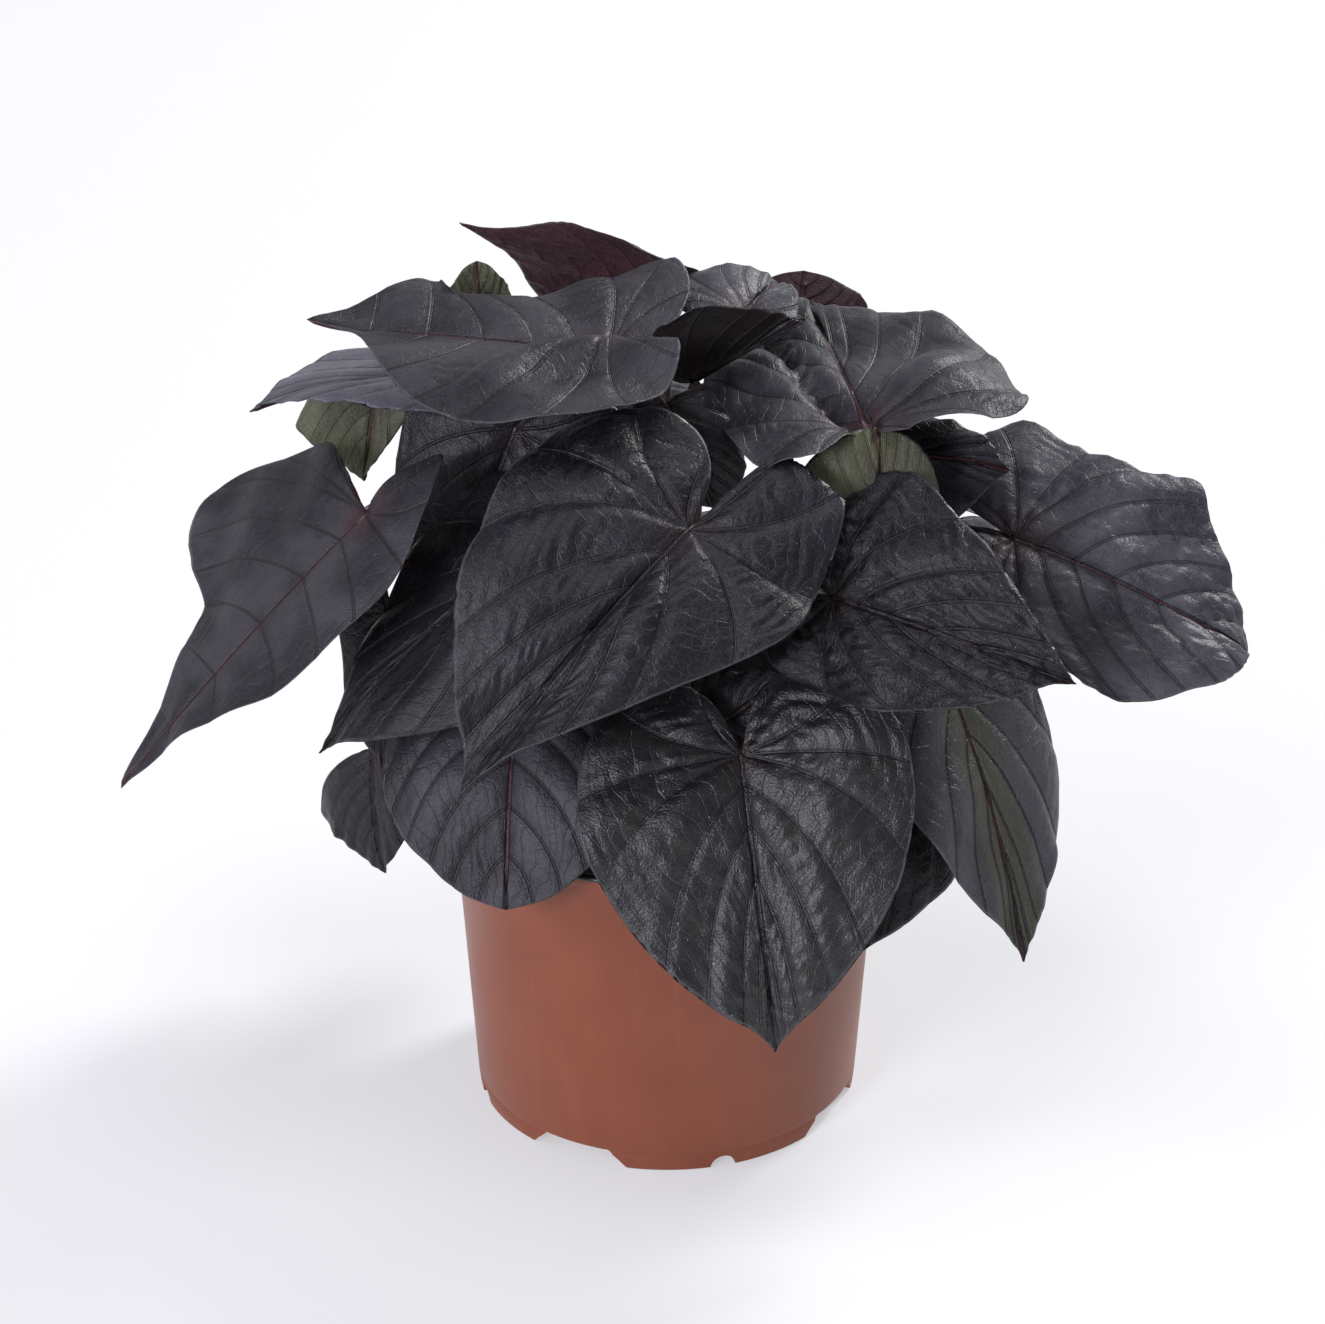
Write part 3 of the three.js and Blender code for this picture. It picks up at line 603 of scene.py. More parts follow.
# %% [markdown]
# ## Veins, puckers and a thin edge
# The leaf's skin is too big for its veins, so it swells between them like a quilt: the upper side
# has sunken lines and pillows, and the lower side has the veins standing out as ribs. `puff` is how
# high the pillows stand, `dimple` how deep the cross veins divide them, `crumple` and `hills` are
# small and large random swells, and `frill` waves the margin. A leaf with a fold of its own gets
# `bends`: ridges or valleys along a path. All of it is real geometry, because it catches the light
# differently from every side. Only the finest net of veins is left to the material.

# %% Small random shapes
SIDE_VEINS = np.array([0, 0.13, 0.28, 0.43, 0.56, 0.68, 0.745, 0.81, 0.875, 0.935, 1])
CELLS = len(SIDE_VEINS) - 1
WAVES = 6  # how many waves are added up to make hills


def wobble(x, y, seed, wavelength):
    """Soft random hills of height about one, repeatable for a seed."""
    draw = np.random.default_rng(seed)
    total = 0
    for _ in range(WAVES):
        turn, shift = draw.uniform(0, 2 * math.pi, 2)
        size = wavelength * draw.uniform(0.6, 1.7)
        total = total + np.sin(2 * math.pi / size * (x * math.cos(turn) + y * math.sin(turn)) + shift)
    return total / math.sqrt(WAVES)


def plateau(gap, width):
    """One away from a line, falling to zero at it."""
    return 1 - np.exp(-gap / width)


def ridge(away, height, width):
    """A round ridge: full height on a line, falling off to both sides."""
    return height * np.exp(-((away / width) ** 2))


def fold_height(flat, path, height, width, crumpled, fade, count=40):
    """A ridge, or a valley where height is negative, along a path on the flat blade."""
    path = np.pad(np.array(path, float), ((0, 0), (0, 1)))
    points = smooth_path(path, np.linspace(0, 1, count))[:, :2]
    away = np.linalg.norm(flat[..., None, :] - points, axis=-1)
    lumps = 1 + crumpled * wobble(flat[..., 0], flat[..., 1], 5, 7)
    left = 1 - fade * away.argmin(-1) / (count - 1)
    return ridge(away.min(-1), height, width) * lumps * left


print("side veins:", SIDE_VEINS[1:-1])

# %% One half of a blade
BLADE_THICKNESS = 0.5
PILLOW_EDGE, DIMPLE_EDGE = 1.5, 0.9  # over what distance a pillow rises from its veins
GROOVE, MIDRIB, SIDE_RIB = (0.5, 0.9), (0.75, 0.75), (0.3, 0.45)  # height and width


class HalfBlade:
    """A grid over one half: row i follows the side veins, column j runs from midrib to margin."""

    def __init__(self, leaf, look, h):
        rows, columns = look["grid"]
        seed = look["seed"] + 50 * h
        spine, axes = Spine(leaf), axes_of(leaf)
        scale = np.array([leaf["half"][h] * (2 * h - 1), spine.length])
        self.vein = np.arange(CELLS * rows + 1)[:, None] / rows
        self.v = (np.arange(columns + 1)[None, :] / columns) ** 0.92
        u, v = np.broadcast_arrays(np.interp(self.vein, np.arange(CELLS + 1), SIDE_VEINS), self.v)
        self.place = blade_point(leaf, spine, axes, u, v, h)
        self.normal = blade_normal(leaf, spine, axes, u, v, h)

        # the flat blade in millimetres, and the distance from one side vein to the next
        laid = lambda u: np.stack(flat_point(leaf, np.clip(u, 0, 1), v, h), -1) * scale
        swell = lambda seed, wavelength: wobble(*self.flat.transpose(2, 0, 1), seed, wavelength)
        self.flat = laid(u)
        rate = np.interp(self.vein, np.arange(CELLS) + 0.5, np.diff(SIDE_VEINS))
        apart = (laid(u + 0.02) - laid(u - 0.02)) / 0.04
        out = np.gradient(self.flat, axis=1)
        out = out / np.maximum(np.linalg.norm(out, axis=-1), 1e-9)[..., None]
        self.pitch = np.abs(apart[..., 0] * out[..., 1] - apart[..., 1] * out[..., 0]) * rate
        y = self.flat[..., 1] / spine.length
        self.rib = np.where(y > 0, np.abs(self.flat[..., 0]), np.linalg.norm(self.flat, axis=-1))

        # pillows between the side veins, dimpled along the cross veins
        cell = np.minimum(self.vein.astype(int), CELLS - 1)
        between = self.vein - cell
        draw = np.random.default_rng(seed)
        shift, slant = draw.uniform(0, 1, CELLS + 1), draw.uniform(-0.4, 1.2, CELLS + 1)
        reach = np.maximum(np.linalg.norm(self.flat[:, -1:] - self.flat[:, :1], axis=-1), 6)
        lean = v * reach / look["cell"] + 0.35 * swell(seed + 7, 12)
        self.cross = lean + shift[cell] + slant[cell] * between
        on_vein = (between == 0) & (cell > 0)  # such a row ends one cell and starts the next
        self.cross_before = np.where(on_vein, lean + (shift + slant)[cell - 1], self.cross)
        gap = np.minimum(between, 1 - between) * self.pitch
        step = np.minimum(self.cross % 1, 1 - self.cross % 1) * look["cell"]
        size = np.clip(self.pitch / 9, 0, 1.15) * np.clip(0.3 + 5 * v, 0, 1) * (1 - 0.35 * v**4)
        patchy = np.clip(0.6 + 0.6 * swell(seed + 9, 22), 0, 1.2)
        dimple = look["dimple"] * patchy * np.clip(0.3 + v, 0, 1)
        quilt = plateau(gap, PILLOW_EDGE) * (1 - dimple + dimple * plateau(step, DIMPLE_EDGE))
        crumple = np.abs(swell(seed + 5, 8)) * np.clip(v * 6, 0, 1)
        hills = swell(look["seed"] + 3, 34) * np.clip(v * 3, 0, 1)  # one seed, so they cross the midrib
        frill = v**5 * np.sin(math.pi * u) * wobble(self.vein * 8, 0 * v, seed + 11, 9)
        soft = look["puff"] * size * quilt + look["crumple"] * crumple + look["hills"] * hills
        soft = soft + look["frill"] * frill
        for bend in look["bends"]:
            soft = soft + fold_height(self.flat, *bend)

        # thickness, a groove above the midrib and ribs under it
        taper = 1 - 0.72 * np.clip(y, 0, 1)
        half_thick = 0.5 * BLADE_THICKNESS * (1 - 0.6 * v**6)
        groove = taper * ridge(self.rib, *GROOVE)
        ribs = taper * ridge(self.rib, *MIDRIB)
        ribs = ribs + ridge(gap, *SIDE_RIB) * (1 - v) ** 0.6 * np.clip(v * 12, 0, 1)
        lifted = lambda height: self.place + self.normal * height[..., None]
        self.top = lifted(soft + half_thick - groove)
        self.under = lifted(0.92 * soft - half_thick - ribs)
        self.rim = lifted(0.96 * soft)


made(HalfBlade)

# %% Both halves as one closed mesh
UPPER, UNDER = range(2)  # material slots of a blade


class MeshLists:
    """Vertices, faces and their data, gathered piece by piece."""

    def __init__(self):
        self.vertices, self.faces, self.slots = [], [], []
        self.vein_map, self.flat_map, self.carried = [], [], []

    def add(self, place, *pitch_rib_outward):
        self.vertices.append(place)
        self.carried.append(pitch_rib_outward)
        return len(self.vertices) - 1


def blade_lists(leaf, look):
    """The blade's upper and lower skins, joined along the margin, the notch and the tip."""
    lists = MeshLists()
    halves = [HalfBlade(leaf, look, h) for h in (0, 1)]
    rows, columns = halves[0].rib.shape
    first_on_rib = int(np.argmax(halves[0].flat[:, 0, 1] > 1e-6))
    peaks = {}
    for skin in ("top", "under"):
        peaks[skin] = lists.add(getattr(halves[0], skin)[first_on_rib - 1, 0], 1, 0, 0)
    tip = lists.add(halves[0].rim[-1, 0], 1, 0, 1)
    middle = {}
    rim = [[None] * rows, [None] * rows]
    for h, half in enumerate(halves):
        for i in range(1, rows - 1):
            rim[h][i] = lists.add(half.rim[i, -1], half.pitch[i, -1], half.rib[i, -1], 1)
        for skin in ("top", "under"):
            grid = getattr(half, skin)
            numbers = np.empty((rows, columns), int)
            numbers[0, :] = peaks[skin]
            numbers[-1, :] = tip
            for i in range(1, rows - 1):
                for j in range(columns - 1):
                    if j == 0 and i < first_on_rib:
                        numbers[i, 0] = peaks[skin]
                    elif j == 0 and h == 1:
                        numbers[i, 0] = middle[skin, i]
                    else:
                        outward = half.v[0, j]
                        numbers[i, j] = lists.add(grid[i, j], half.pitch[i, j], half.rib[i, j], outward)
                    if j == 0 and h == 0:
                        middle[skin, i] = numbers[i, 0]
                numbers[i, -1] = rim[h][i]
            slot = UPPER if skin == "top" else UNDER
            add_skin(lists, half, numbers, slot, flip=(h == 0) == (slot == UPPER))
        notch = [peaks["top"], rim[h][1], peaks["under"]]
        add_face(lists, half, notch[::-1] if h else notch, [(0, 0), (1, -1), (0, 0)], 0, UNDER)
    return lists


def add_face(lists, half, corners, grid, row, slot):
    """One face with its two maps; grid holds each corner's (row, column)."""
    lists.faces.append(corners)
    lists.slots.append(slot)
    for i, j in grid:
        cross = half.cross_before if i > row else half.cross
        lists.vein_map.append((half.vein[i, 0], cross[i, j]))
        lists.flat_map.append(half.flat[i, j])


def add_skin(lists, half, numbers, slot, flip):
    """Faces over one half's grid; a face with two corners in one place becomes a triangle."""
    rows, columns = numbers.shape
    for i in range(rows - 1):
        for j in range(columns - 1):
            grid = [(i, j), (i, j + 1), (i + 1, j + 1), (i + 1, j)]
            if flip:
                grid.reverse()
            corners = [int(numbers[place]) for place in grid]
            keep = [k for k in range(4) if corners[k] != corners[k - 1]]
            if len(keep) > 2 and len({corners[k] for k in keep}) > 2:
                add_face(lists, half, [corners[k] for k in keep], [grid[k] for k in keep], i, slot)


made(MeshLists, blade_lists, add_face, add_skin)

# %% [markdown]
# ## Stalks and stems
# A stalk is a round bar along a curve, a little thicker where it meets the stem and thinner where
# it meets the blade. Curve to Mesh in Geometry Nodes is the natural tool: the path is a bare line of
# vertices, each with its own `thickness`, and the tree sweeps a circle along it.

# %% A tree that sweeps a circle along a line
def new_tree(name, inputs):
    """A Geometry Nodes tree with named inputs (name, kind, value), and its inputs' sockets."""
    tree = bpy.data.node_groups.new(name, "GeometryNodeTree")
    tree.interface.new_socket("Geometry", in_out="INPUT", socket_type="NodeSocketGeometry")
    for label, kind, value in inputs + [("Material", "Material", None)]:
        socket = tree.interface.new_socket(label, in_out="INPUT", socket_type="NodeSocket" + kind)
        if value is not None:
            socket.default_value = value
    tree.interface.new_socket("Geometry", in_out="OUTPUT", socket_type="NodeSocketGeometry")
    return Wires(tree), tree.nodes.new("NodeGroupInput").outputs


def close_tree(wires, start, geometry):
    """Makes the result real, gives it the tree's material and sends it out."""
    real = wires.node("GeometryNodeRealizeInstances", {"Geometry": geometry})
    skin = {"Geometry": real, "Material": start["Material"]}
    end = wires.tree.nodes.new("NodeGroupOutput")
    wires.tree.links.new(wires.node("GeometryNodeSetMaterial", skin), end.inputs[0])
    return wires.tree


def sweep_tree():
    """Line with thickness -> round bar with closed ends."""
    wires, start = new_tree("round_bar", [("Sides", "Int", 12)])
    sweep = {
        "Curve": wires.node("GeometryNodeMeshToCurve", {"Mesh": start["Geometry"]}),
        "Profile Curve": wires.node(
            "GeometryNodeCurvePrimitiveCircle", {"Resolution": start["Sides"], "Radius": 1.0}
        ),
        "Scale": wires.node("GeometryNodeInputNamedAttribute", {"Name": "thickness"}, data_type="FLOAT"),
        "Fill Caps": True,
    }
    bar = wires.node("GeometryNodeCurveToMesh", sweep)
    return close_tree(wires, start, wires.node("GeometryNodeSetShadeSmooth", {"Geometry": bar}))


def grown(piece, tree, values):
    """Runs a tree on the piece and leaves its result as a plain mesh."""
    modifier = piece.modifiers.new(tree.name, "NODES")
    modifier.node_group = tree
    for item in tree.interface.items_tree:
        if item.in_out == "INPUT" and item.name in values:
            modifier[item.identifier] = values[item.name]
    return applied(piece)


def applied(piece):
    """Puts what the piece's modifiers make in place of its mesh."""
    graph = bpy.context.evaluated_depsgraph_get()
    old = piece.data
    piece.data = bpy.data.meshes.new_from_object(piece.evaluated_get(graph))
    piece.modifiers.clear()
    bpy.data.meshes.remove(old)
    piece.data.name = piece.name
    return piece


ROUND_BAR = sweep_tree()


def round_bar(name, points, thickness, material, sides=12):
    """A round bar along points, in millimetres from the pot's axis."""
    places = (np.asarray(points) + POT_AXIS) * MM
    mesh = bpy.data.meshes.new(name)
    mesh.from_pydata(places.tolist(), [(i, i + 1) for i in range(len(places) - 1)], [])
    attribute = mesh.attributes.new("thickness", "FLOAT", "POINT")
    attribute.data.foreach_set("value", (np.asarray(thickness) * MM).astype(np.float32))
    return grown(linked(name, mesh), ROUND_BAR, {"Sides": sides, "Material": material})


print("tree:", ROUND_BAR.name)

# %% [markdown]
# ## Leaf finishes
# A leaf's colour isn't one colour: the skin drifts between two tones, the side veins and the
# midrib's borders are dark threads, partly their own colour and on the upper side partly painted
# shade in their sunken grooves, the midrib is often red, and a pale line of painted sheen runs
# along the margin. Everything is read from maps that the mesh carries, so the pattern follows each
# leaf: `veins` counts the side veins (x) and the cross veins (y), `flat` is the blade laid flat in
# tenths of a metre, `pitch` is the room between two side veins, `rib` the distance to the midrib,
# `outward` runs from the midrib (0) to the margin (1), and `seed` shifts the random patterns, so no
# two leaves are alike.

# %% Where a leaf's lines run
def off_line(wires, count):
    """Distance of a count from the next whole number."""
    return wires.math("ABSOLUTE", wires.math("SUBTRACT", count, wires.math("ROUND", count)))


def leaf_lines(wires):
    """The blade laid flat in millimetres, and masks that are one on a line of the leaf."""
    veins = wires.node("ShaderNodeSeparateXYZ", {0: wires.map("veins")})
    flat = wires.vector("MULTIPLY", wires.map("flat"), (100.0, 100.0, 0.0))
    spot = wires.node("ShaderNodeCombineXYZ", {2: wires.number("seed")})
    place = wires.vector("ADD", flat, spot)
    gap = wires.times(off_line(wires, veins), wires.number("pitch"))
    off_cross = wires.times(off_line(wires, veins.node.outputs[1]), 7.0)
    rib_gap = wires.number("rib")
    bend = {"Vector": place, "Scale": 0.3, "Detail": 2.0}
    bent = wires.vector("ADD", place, wires.node("ShaderNodeTexNoise", bend, output=1))
    cells = {"Vector": bent, "Scale": 0.42}
    net = wires.node("ShaderNodeTexVoronoi", cells, feature="DISTANCE_TO_EDGE")
    to_base = wires.vector("LENGTH", flat, output=1)
    return place, {
        "side": wires.step(gap, 0.25, 0.65, 1.0, 0.0),
        "side core": wires.step(gap, 0.08, 0.24, 1.0, 0.0),
        "cross": wires.step(off_cross, 0.05, 0.4, 1.0, 0.0),
        "net": wires.step(net, 0.0, 0.12, 1.0, 0.0),
        "rib": wires.step(rib_gap, 0.55, 1.0, 1.0, 0.0),
        "rib core": wires.step(rib_gap, 0.25, 0.5, 1.0, 0.0),
        "blush": wires.step(to_base, 2.0, 14.0, 1.0, 0.0),
        "edge": wires.step(wires.number("outward"), 0.975, 0.992),
    }


made(off_line, leaf_lines)

# %% The skin of a leaf, seen from above or below
# The first colour is a pale line of painted sheen along the leaf margin, standing in for fine hairs that
# catch the light; the second is real white specks.
RIM_SHEEN, SPECK = (0.09, 0.09, 0.1), (0.4, 0.4, 0.42)


def leaf_skin(
    name, tones, vein, fine, rib, roughness=0.45, gloss=0.34, specks=0.3, inner=None, below=False
):
    """tones: two colours of the skin.  vein, fine, rib: colours of the three kinds of vein; on the
    upper side the dark vein colour is partly painted shade in the sunken grooves.
    inner: a colour that shows along the midrib."""
    material, wires, shader = node_material(name)
    place, lines = leaf_lines(wires)

    # colour
    drift = wires.step(wires.noise(place, 0.05, 4.0), 0.35, 0.65)
    grain = wires.noise(place, 1.7)
    uneven = wires.times(wires.math("SUBTRACT", grain, 0.5), 0.6)
    colour = wires.mix(wires.math("ADD", drift, uneven), *tones)
    if inner:
        near = wires.step(wires.number("rib"), 1.0, 15.0, 0.85, 0.0)
        colour = wires.mix(wires.math("ADD", near, uneven), colour, inner)
    # side and rib paint the dark vein colour: partly the veins' own colour and, on the upper side, partly
    # painted shade in their sunken grooves; edge paints a pale line of painted sheen along the margin.
    painted = (
        ("blush", 0.5, rib), ("net", 0.25, fine), ("cross", 0.4, fine), ("side", 0.75, vein),
        ("side core", 0.5, fine), ("rib", 0.8, vein), ("rib core", 0.9, rib), ("edge", 0.55, RIM_SHEEN),
    )
    for line, share, tone in painted:
        colour = wires.mix(wires.times(lines[line], share), colour, tone)
    colour = wires.mix(wires.dots(place, 0.22, 0.02, 0.06, specks), colour, SPECK)

    # relief: veins are sunk above and raised below
    sign = 1.0 if below else -1.0
    height = wires.math("ADD", wires.times(grain, 0.22), wires.times(wires.noise(place, 0.22), 0.5))
    relief = (
        ("net", 0.04 * sign), ("cross", 0.1 * sign), ("side", 0.2 * sign), ("side core", 0.08),
        ("rib", 0.2 * sign), ("rib core", 0.15),
    )
    for line, depth in relief:
        height = wires.math("ADD", height, wires.times(lines[line], depth))
    dull = wires.math("ADD", roughness - 0.08, wires.times(grain, 0.16))
    wires.paint(shader, colour, height, dull)
    shader.inputs["Specular IOR Level"].default_value = gloss
    return material


made(leaf_skin)

# %% Skin of stalks and stems
def stalk_skin(name, *tones):
    """A round stalk or stem: two tones in long streaks, with a fine grain."""
    material, wires, shader = node_material(name)
    streak = wires.noise(wires.object_place((900.0, 900.0, 60.0)), 1.0)
    colour = wires.mix(wires.step(streak, 0.35, 0.65), *tones)
    wires.paint(shader, colour, wires.times(streak, 0.12), 0.42)
    return material


made(stalk_skin)

# %% The finishes
SOOT, NIGHT, DUSK = (0.0045, 0.0045, 0.006), (0.0058, 0.0058, 0.0082), (0.011, 0.0092, 0.0138)
MOSS, PLUM, LILAC = (0.017, 0.0165, 0.0155), (0.0105, 0.0095, 0.014), (0.026, 0.0225, 0.031)
HEATHER, MAUVE = (0.036, 0.032, 0.04), (0.06, 0.054, 0.067)
PEARL, CLOUD = (0.06, 0.059, 0.073), (0.1, 0.1, 0.125)
WINE, RUST, EMBER = (0.05, 0.014, 0.019), (0.05, 0.012, 0.016), (0.019, 0.0075, 0.0085)
# The first two are the young leaves' own olive, lightened and greyed as painted sheen of their fine hairs;
# FERN is their veins.
OLIVE, SAGE, FERN = (0.095, 0.1, 0.052), (0.065, 0.063, 0.046), (0.055, 0.055, 0.03)
INK, ASH = (0.003, 0.003, 0.004), (0.03, 0.029, 0.035)
UPPER_SKINS = {
    "charcoal": leaf_skin("leaf_charcoal", (NIGHT, DUSK), INK, ASH, EMBER, 0.38, 0.3),
    "coal": leaf_skin("leaf_coal", (SOOT, NIGHT), INK, ASH, EMBER, 0.36, 0.25),
    "plum": leaf_skin("leaf_plum", (PLUM, HEATHER), INK, (0.03, 0.026, 0.034), RUST, 0.44, 0.32),
    # A pale skin: a leaf's own grey-purple, lightened as painted sheen for a leaf seen at a grazing angle.
    "pale_sheen": leaf_skin("leaf_pearl", (PEARL, CLOUD), LILAC, (0.12, 0.12, 0.14), RUST, 0.42),
    "lilac": leaf_skin("leaf_lilac", (LILAC, PEARL), INK, (0.08, 0.075, 0.09), RUST, 0.42),
    "mottled": leaf_skin(
        "leaf_mottled", (HEATHER, MAUVE), INK, ASH, RUST, 0.38, inner=(0.056, 0.058, 0.035)
    ),
    "bottle": leaf_skin("leaf_bottle", (MOSS, DUSK), INK, ASH, EMBER, 0.32, 0.48, 0.8),
    "olive": leaf_skin("leaf_olive", (OLIVE, SAGE), FERN, (0.12, 0.12, 0.08), RUST, 0.4),
}
UNDER_SKINS = {
    "wine": leaf_skin(
        "underside_wine", (WINE, (0.03, 0.014, 0.018)), EMBER, (0.1, 0.035, 0.05), RUST, 0.5, below=True
    ),
    # Painted shade: a near-black underside for a leaf whose underside lies in shadow, with faint brown
    # patches.
    "dark": leaf_skin(
        "underside_dark", ((0.004, 0.0035, 0.004), (0.009, 0.004, 0.0035)), INK, EMBER, EMBER, 0.6,
        below=True,
    ),
    "slate": leaf_skin(
        "underside_slate", (DUSK, (0.022, 0.01, 0.014)), EMBER, RUST, RUST, 0.5, below=True
    ),
}
STALK_SKIN = stalk_skin("stalk_skin", (0.04, 0.01, 0.014), (0.02, 0.012, 0.01))
STEM_SKIN = stalk_skin("stem_skin", (0.03, 0.014, 0.014), (0.025, 0.03, 0.012))
print("skins:", len(UPPER_SKINS) + len(UNDER_SKINS))

# %% [markdown]
# ## Growing the leaves
# Each leaf gets a look of its own: its finish, how strongly it is puckered, and how fine its grid
# is. A leaf at the front is finer than one at the back. The blade's lists become a mesh, the stalk
# is swept to its underside, and both are joined, because they grew as one piece.

# %% How each leaf looks
# upper, under: finishes.  cell: room between cross veins.  grid: rows a vein, columns a half
# a bend: its path on the flat blade in millimetres, height, width, roughness, share lost at its end
FINE_GRID, PLAIN_GRID, BACK_GRID = (8, 46), (6, 28), (5, 18)
PLAIN = dict(
    upper="charcoal", under="slate", puff=0.9, cell=5, dimple=0.5, hills=0.9, frill=0.9, crumple=0.15,
    bends=[],
)
VALLEY = ([(-3.6, 1), (-7.8, 13.9), (-12.5, 33.6), (-17.2, 61), (-19, 72)], -6, 4.5, 0.2, 0)
ROLL = ([(-12, -26), (-10, -14), (-8, -2), (-12, 12), (-22, 24), (-32, 30)], 12, 8, 0, 0.9)
LOOKS = {
    "crown_left": dict(upper="plum", puff=0.8, hills=0.8, frill=0.5, bends=[ROLL], grid=FINE_GRID),
    "crown_back_up": dict(upper="plum", under="wine", puff=0.5, hills=0.3, frill=0.2, grid=FINE_GRID),
    # Its underside gets the near-black painted shade.
    "crown_right": dict(upper="plum", under="dark", puff=0.3),
    "crown_mid": dict(upper="lilac", under="wine", puff=0.6),
    "crown_back": dict(upper="plum", under="wine", puff=0.5),
    "crown_down": dict(puff=0.5),
    "right_top": dict(
        upper="plum", under="wine", puff=1.2, hills=1.8, frill=1.2, bends=[VALLEY], grid=FINE_GRID
    ),
    "young_left": dict(upper="olive", under="wine", puff=0.4, cell=3),
    "young_back": dict(upper="olive", under="wine", puff=0.4, cell=3),
    "young_right": dict(upper="plum", under="wine", puff=0.4, cell=3),
    "young_mid": dict(upper="olive", under="wine", cell=3),
    # Its lighter skin is painted sheen over its own grey-purple.
    "left_back": dict(upper="pale_sheen"),
    "left_big": dict(upper="plum", puff=0.4, hills=0.8, frill=0.6, crumple=0, grid=FINE_GRID),
    "front_mid": dict(puff=1.6, dimple=0.8, hills=1.2, frill=1.4, crumple=0.3, grid=FINE_GRID),
    "front_right": dict(
        upper="coal", puff=1.5, dimple=0.8, hills=1.2, frill=1.4, crumple=0.6, grid=FINE_GRID
    ),
    "front_low": dict(upper="bottle", puff=1.15, hills=1.0, frill=1.3, crumple=0.6, grid=FINE_GRID),
    "front_small": dict(puff=0.2),
    "right_big": dict(upper="lilac", puff=1.15, hills=1.7, frill=2.2, crumple=0.5, grid=FINE_GRID),
    "right_low": dict(upper="mottled", frill=1.0, grid=FINE_GRID),
    "left_low": dict(upper="plum", frill=1.2, grid=FINE_GRID),
}


def look_of(name, number):
    grid = BACK_GRID if name.startswith("back") else PLAIN_GRID
    return {**PLAIN, "seed": 100 * number, "grid": grid, **LOOKS.get(name, {})}


print("leaves with a look of their own:", len(LOOKS))

# %% The stalk's path and thickness
GAP = 0.3  # room between a stem and a stalk
STALK_RADIUS, STALK_BELOW = 1.2, 1.1


def stalk_path(leaf, count=48):
    """From the stem's side to the underside of the blade, as the solid's stalk runs."""
    spine, (forward, up, right) = Spine(leaf), axes_of(leaf)
    stem, share, *way = leaf["stalk"]
    ground = 1 / len(STEMS[stem])
    t = min(ground + share * (1 - ground), 0.999)
    on, ahead, astern = smooth_path(stem_points(stem), [t, min(t + 1e-4, 1), t - 1e-4])
    tangent = unit(ahead - astern)
    base = np.array(leaf["base"], float)
    first = np.array(way[0], float) if way else base
    out = first - on
    out = unit(out - tangent * (out @ tangent))
    start = on + out * (STEM_RADIUS + GAP)
    reach = np.linalg.norm(base - start)
    bend = first if way else start + out * 0.22 * reach + tangent * 0.35 * reach
    arrive = unit(-leaf["behind"] * forward - 0.85 * up)
    near = min(18, 0.3 * np.linalg.norm(base - (first if way else start)))
    end = base - up * STALK_BELOW
    along, rise, _ = spine.at(0.06)
    under = end + forward * along + up * rise
    points = [on + out * (STEM_RADIUS - 1), start + out * 3, bend, end + arrive * near, end, under]
    t = np.linspace(0, 1, count)
    thickness = STALK_RADIUS * (1 + 0.5 * np.exp(-t / 0.04) - 0.45 * np.clip((t - 0.82) / 0.18, 0, 1))
    return smooth_path(points, t), thickness


made(stalk_path)

# %% One leaf as a mesh
def leaf_piece(name, leaf, look):
    """Blade and stalk of one leaf, joined."""
    lists = blade_lists(leaf, look)
    places = (np.array(lists.vertices) + POT_AXIS) * MM
    piece = mesh_object(name, places, lists.faces)
    mesh = piece.data
    for skin in (UPPER_SKINS[look["upper"]], UNDER_SKINS[look["under"]], STALK_SKIN):
        mesh.materials.append(skin)
    mesh.polygons.foreach_set("material_index", lists.slots)
    maps = {"veins": np.array(lists.vein_map), "flat": np.array(lists.flat_map) / 100}
    for label, values in maps.items():
        layer = mesh.uv_layers.new(name=label)
        layer.data.foreach_set("uv", values.astype(np.float32).ravel())
    pitch, rib, outward = zip(*lists.carried)
    seeds = [look["seed"] / 7.0] * len(places)
    carried = {"pitch": pitch, "rib": rib, "outward": outward, "seed": seeds}
    for label, values in carried.items():
        layer = mesh.attributes.new(label, "FLOAT", "POINT")
        layer.data.foreach_set("value", np.array(values, np.float32))
    stalk = round_bar(name + "_stalk", *stalk_path(leaf), STALK_SKIN)
    bpy.ops.object.select_all(action="DESELECT")
    stalk.select_set(True)
    piece.select_set(True)
    bpy.context.view_layer.objects.active = piece
    bpy.ops.object.join()
    return piece


made(leaf_piece)

# %% Every leaf over its solid
faces = 0
for number, (name, leaf) in enumerate(LEAVES.items(), 1):
    blade = leaf_piece("blade_" + name, leaf, look_of(name, number))
    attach(blade, "root")
    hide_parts("leaf_" + name)
    faces += len(blade.data.polygons)
print("leaves:", len(LEAVES), "faces:", faces)

# %% [markdown]
# ## The stems
# A young shoot is green and wine red, thickens a little at each node where a leaf was, and ends in
# a blunt bud. The same swept bar serves, because only its path and its thickness differ.

# %% Stems over their solids
def stem_thickness(t, nodes=5):
    """Radius along a stem: swollen nodes, and a rounded tip."""
    swell = 0.32 * np.exp(-(((t * nodes) % 1 - 0.5) / 0.16) ** 2)
    tip = np.sqrt(np.clip((1 - t) / 0.03, 0.0025, 1))
    return (STEM_RADIUS - 0.35 + swell) * tip


for name in STEMS:
    t = 1 - (1 - np.linspace(0, 1, 90)) ** 1.35
    path = smooth_path(stem_points(name), t)
    stem = round_bar("shoot_" + name, path, stem_thickness(t), STEM_SKIN, sides=20)
    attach(stem, "root")
    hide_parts("stem_" + name)
print("stems:", len(STEMS))

